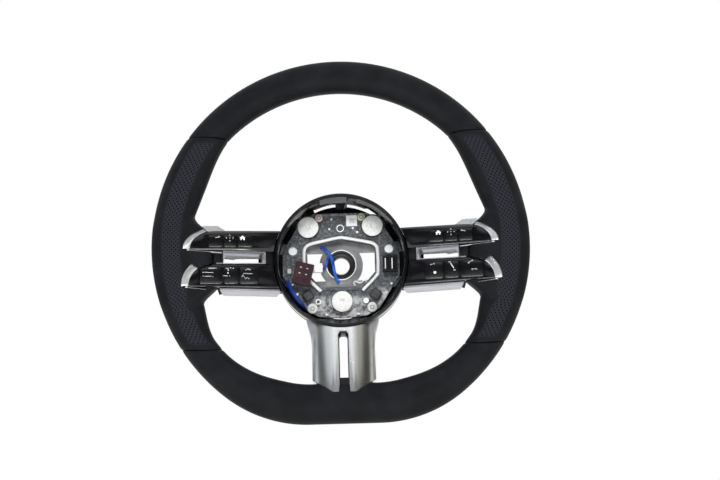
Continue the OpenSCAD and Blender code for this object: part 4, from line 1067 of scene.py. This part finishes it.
def bar(x, z, length, thick, lean=0):
    """A short bar about a middle, leaning by some degrees."""
    c, s = cos(radians(lean)), sin(radians(lean))
    corners = [(-length / 2, -thick / 2), (length / 2, -thick / 2),
               (length / 2, thick / 2), (-length / 2, thick / 2)]
    return [(x + a * c - b * s, z + a * s + b * c) for a, b in corners]


def house(x, z):
    """A plain house about a middle, with an open door."""
    shape = [(-2.9, -0.1), (0, 2.4), (2.9, -0.1), (2.0, -0.1), (2.0, -2.1), (0.9, -2.1), (0.9, -0.5),
             (-0.9, -0.5), (-0.9, -2.1), (-2.0, -2.1), (-2.0, -0.1)]
    return [(x + a, z + b) for a, b in shape]


def handset(x, z, lean):
    """A telephone's handset: two round ends on a bar."""
    c, s = cos(radians(lean)), sin(radians(lean))
    return [bar(x, z, 4.0, 0.7, lean), disc(x - 2.0 * c, z - 2.0 * s - 0.3, 0.85),
            disc(x + 2.0 * c, z + 2.0 * s - 0.3, 0.85)]


def print_marks(key, side, middle, paint, shapes):
    """Marks printed on a key's face, as thick as their paint."""
    bm = bmesh.new()
    front = paint_sunk - paint_thick
    flats = [bm.faces.new([bm.verts.new((x, front, z)) for x, z in outline]) for outline in shapes]
    grown = bmesh.ops.extrude_face_region(bm, geom=flats)
    moved = [item for item in grown["geom"] if isinstance(item, bmesh.types.BMVert)]
    bmesh.ops.translate(bm, verts=moved, vec=(0, paint_thick, 0))
    for vert in bm.verts:
        vert.co.y += crown_radius - sqrt(crown_radius ** 2 - (vert.co.z - middle) ** 2)
    bmesh.ops.transform(bm, matrix=sides[side] @ on_spoke, verts=bm.verts)
    bmesh.ops.recalc_face_normals(bm, faces=bm.faces)
    node = key + "_" + side
    fitted(object_of(node + "_marks", bm, paint), body_of[node], "paper_white")


mark_white = grained("mark_white", (0.7, 0.71, 0.72), 0.5, 0, 900, 0.00002, 0.12)
mark_grey = grained("mark_grey", (0.3, 0.31, 0.32), 0.5, 0, 900, 0.00002, 0.2)
for side in sides:
    print_marks("back_key", side, upper_middle, mark_grey, [
        bar(56.9, 23.5, 3.0, 0.8, -8), [(53.6, 24.1), (55.6, 25.2), (55.4, 22.9)]])
    print_marks("touch_key", side, upper_middle, mark_grey, [
        disc(44.3 + 3.3 * cos(a), 23.0 + 2.8 * sin(a), 0.62) for a in (0, pi / 2, pi, 3 * pi / 2)]
        + [disc(44.3, 23.0, 0.5)])
    print_marks("home_key", side, upper_middle, mark_white, [house(31.7, 22.9)])
print_marks("end_rocker", "left", lower_middle, mark_grey, [
    bar(62.6, -6.8, 6.0, 0.9), disc(58.4, -6.8, 0.5),
    bar(65.6, -11.0, 8.5, 0.7, 1), disc(71.0, -10.9, 0.6),
    bar(66.4, -14.7, 6.6, 0.8, 1), disc(61.6, -15.0, 0.5), disc(71.2, -14.6, 0.5)])
print_marks("mode_key", "left", lower_middle, mark_grey, [
    disc(41.4, -6.8, 0.55), disc(43.8, -6.4, 0.5), bar(47.4, -6.9, 3.0, 0.7), bar(46.6, -8.6, 1.0, 1.6, -40),
    disc(46.8, -11.6, 0.9), bar(49.4, -14.3, 4.4, 0.8, 3), disc(45.2, -14.4, 0.5)])
print_marks("star_key", "left", lower_middle, mark_grey, [
    bar(26.2, -8.0, 3.6, 1.1, 12), disc(29.0, -8.6, 0.6), bar(27.2, -12.2, 9.0, 0.6, 2),
    bar(32.4, -14.4, 2.8, 0.7, -55), bar(30.6, -15.8, 2.4, 0.7, 60), bar(28.6, -16.6, 2.6, 0.7, -40),
    disc(26.2, -17.2, 0.6)])
print_marks("star_key", "right", lower_middle, mark_grey, [
    bar(23.6, -8.1, 2.4, 0.8, 15), bar(26.3, -7.6, 0.8, 1.7)])
print_marks("star_key", "right", lower_middle, mark_white, [disc(27.1, -16.2, 1.25)])
print_marks("mode_key", "right", lower_middle, mark_white, [bar(44.3, -10.4, 5.6, 0.8, -58)])
print_marks("mode_key", "right", lower_middle, mark_grey, [
    bar(42.0, -6.6, 2.6, 1.0), bar(46.4, -14.7, 2.4, 1.1)])
print_marks("end_rocker", "right", lower_middle, mark_grey,
            handset(62.4, -7.0, 28) + handset(65.9, -14.7, 0))

# The silver blades round the decks' outer ends, and the shift paddles on their pins:
# satin chrome, with the room's dark reflection painted into the blades' colour towards their tops
upper_shade = (14, 30)
lower_shade = (-22, -2)


def satin_chrome(name, low, high):
    """Satin chrome whose colour darkens between two heights, in millimetres, as a painted reflection."""
    chrome = Finish(name, (0.8, 0.81, 0.83), 0.3, 0.85)
    place = chrome.place()
    grain = chrome.noise(place, 1800)
    height = chrome.parts(place)[2] / MM
    chrome.paint(Base_Color=chrome.blend(height.step(low, high), (0.92, 0.92, 0.93, 1), (0.5, 0.5, 0.52, 1)),
                 Roughness=0.22 + 0.16 * grain, Normal=chrome.bump(grain, 0.00005, 0.5))
    return chrome


upper_chrome = satin_chrome("upper_blade_chrome", *upper_shade)
lower_chrome = satin_chrome("lower_blade_chrome", *lower_shade)
paddle_silver = grained("paddle_silver", (0.66, 0.67, 0.67), 0.35, 0.7, 1500, 0.00004, 0.08)
for side in sides:
    rounded("upper_blade_" + side, upper_chrome, "bright_silver", 0.45)
    rounded("lower_blade_" + side, lower_chrome, "bright_silver", 0.45)
    rounded("paddle_" + side, paddle_silver, "bright_silver", 0.7)
    rounded("paddle_bracket_" + side, matt_black, "matt_black", 0.3)
rounded("paddle_pins", turned_steel, "steel", 0.2)

# The forked lower spoke: satin chrome, with a black cover behind and a gloss black
# frame in its slot
fork_chrome = Finish("fork_chrome", (0.9, 0.9, 0.92), 0.24, 0.95)
place = fork_chrome.place()
x = fork_chrome.parts(place)[0]
grain = fork_chrome.noise(place, 1200)
across = (x / MM).maths("ABSOLUTE")
# Painted reflection: the chrome's colour is white beside the slot and darkens in a band towards each leg's
# outer edge, less dark on the left
shaded = across.step(7, 15) * (1 - across.step(24, 28)) * (0.45 + 0.55 * (x / MM).step(-3, 3))
fork_chrome.paint(Base_Color=fork_chrome.blend(shaded, (0.98, 0.98, 1, 1), (0.42, 0.42, 0.39, 1)),
                  Roughness=0.2 + 0.1 * grain, Normal=fork_chrome.bump(grain, 0.00003, 0.5))
rounded("fork_trim", fork_chrome, "satin_silver", 0.7)
rounded("fork_cover", matt_black, "matt_black", 0.3)
rounded("slot_frame", gloss_black, "gloss_black", 0.2)
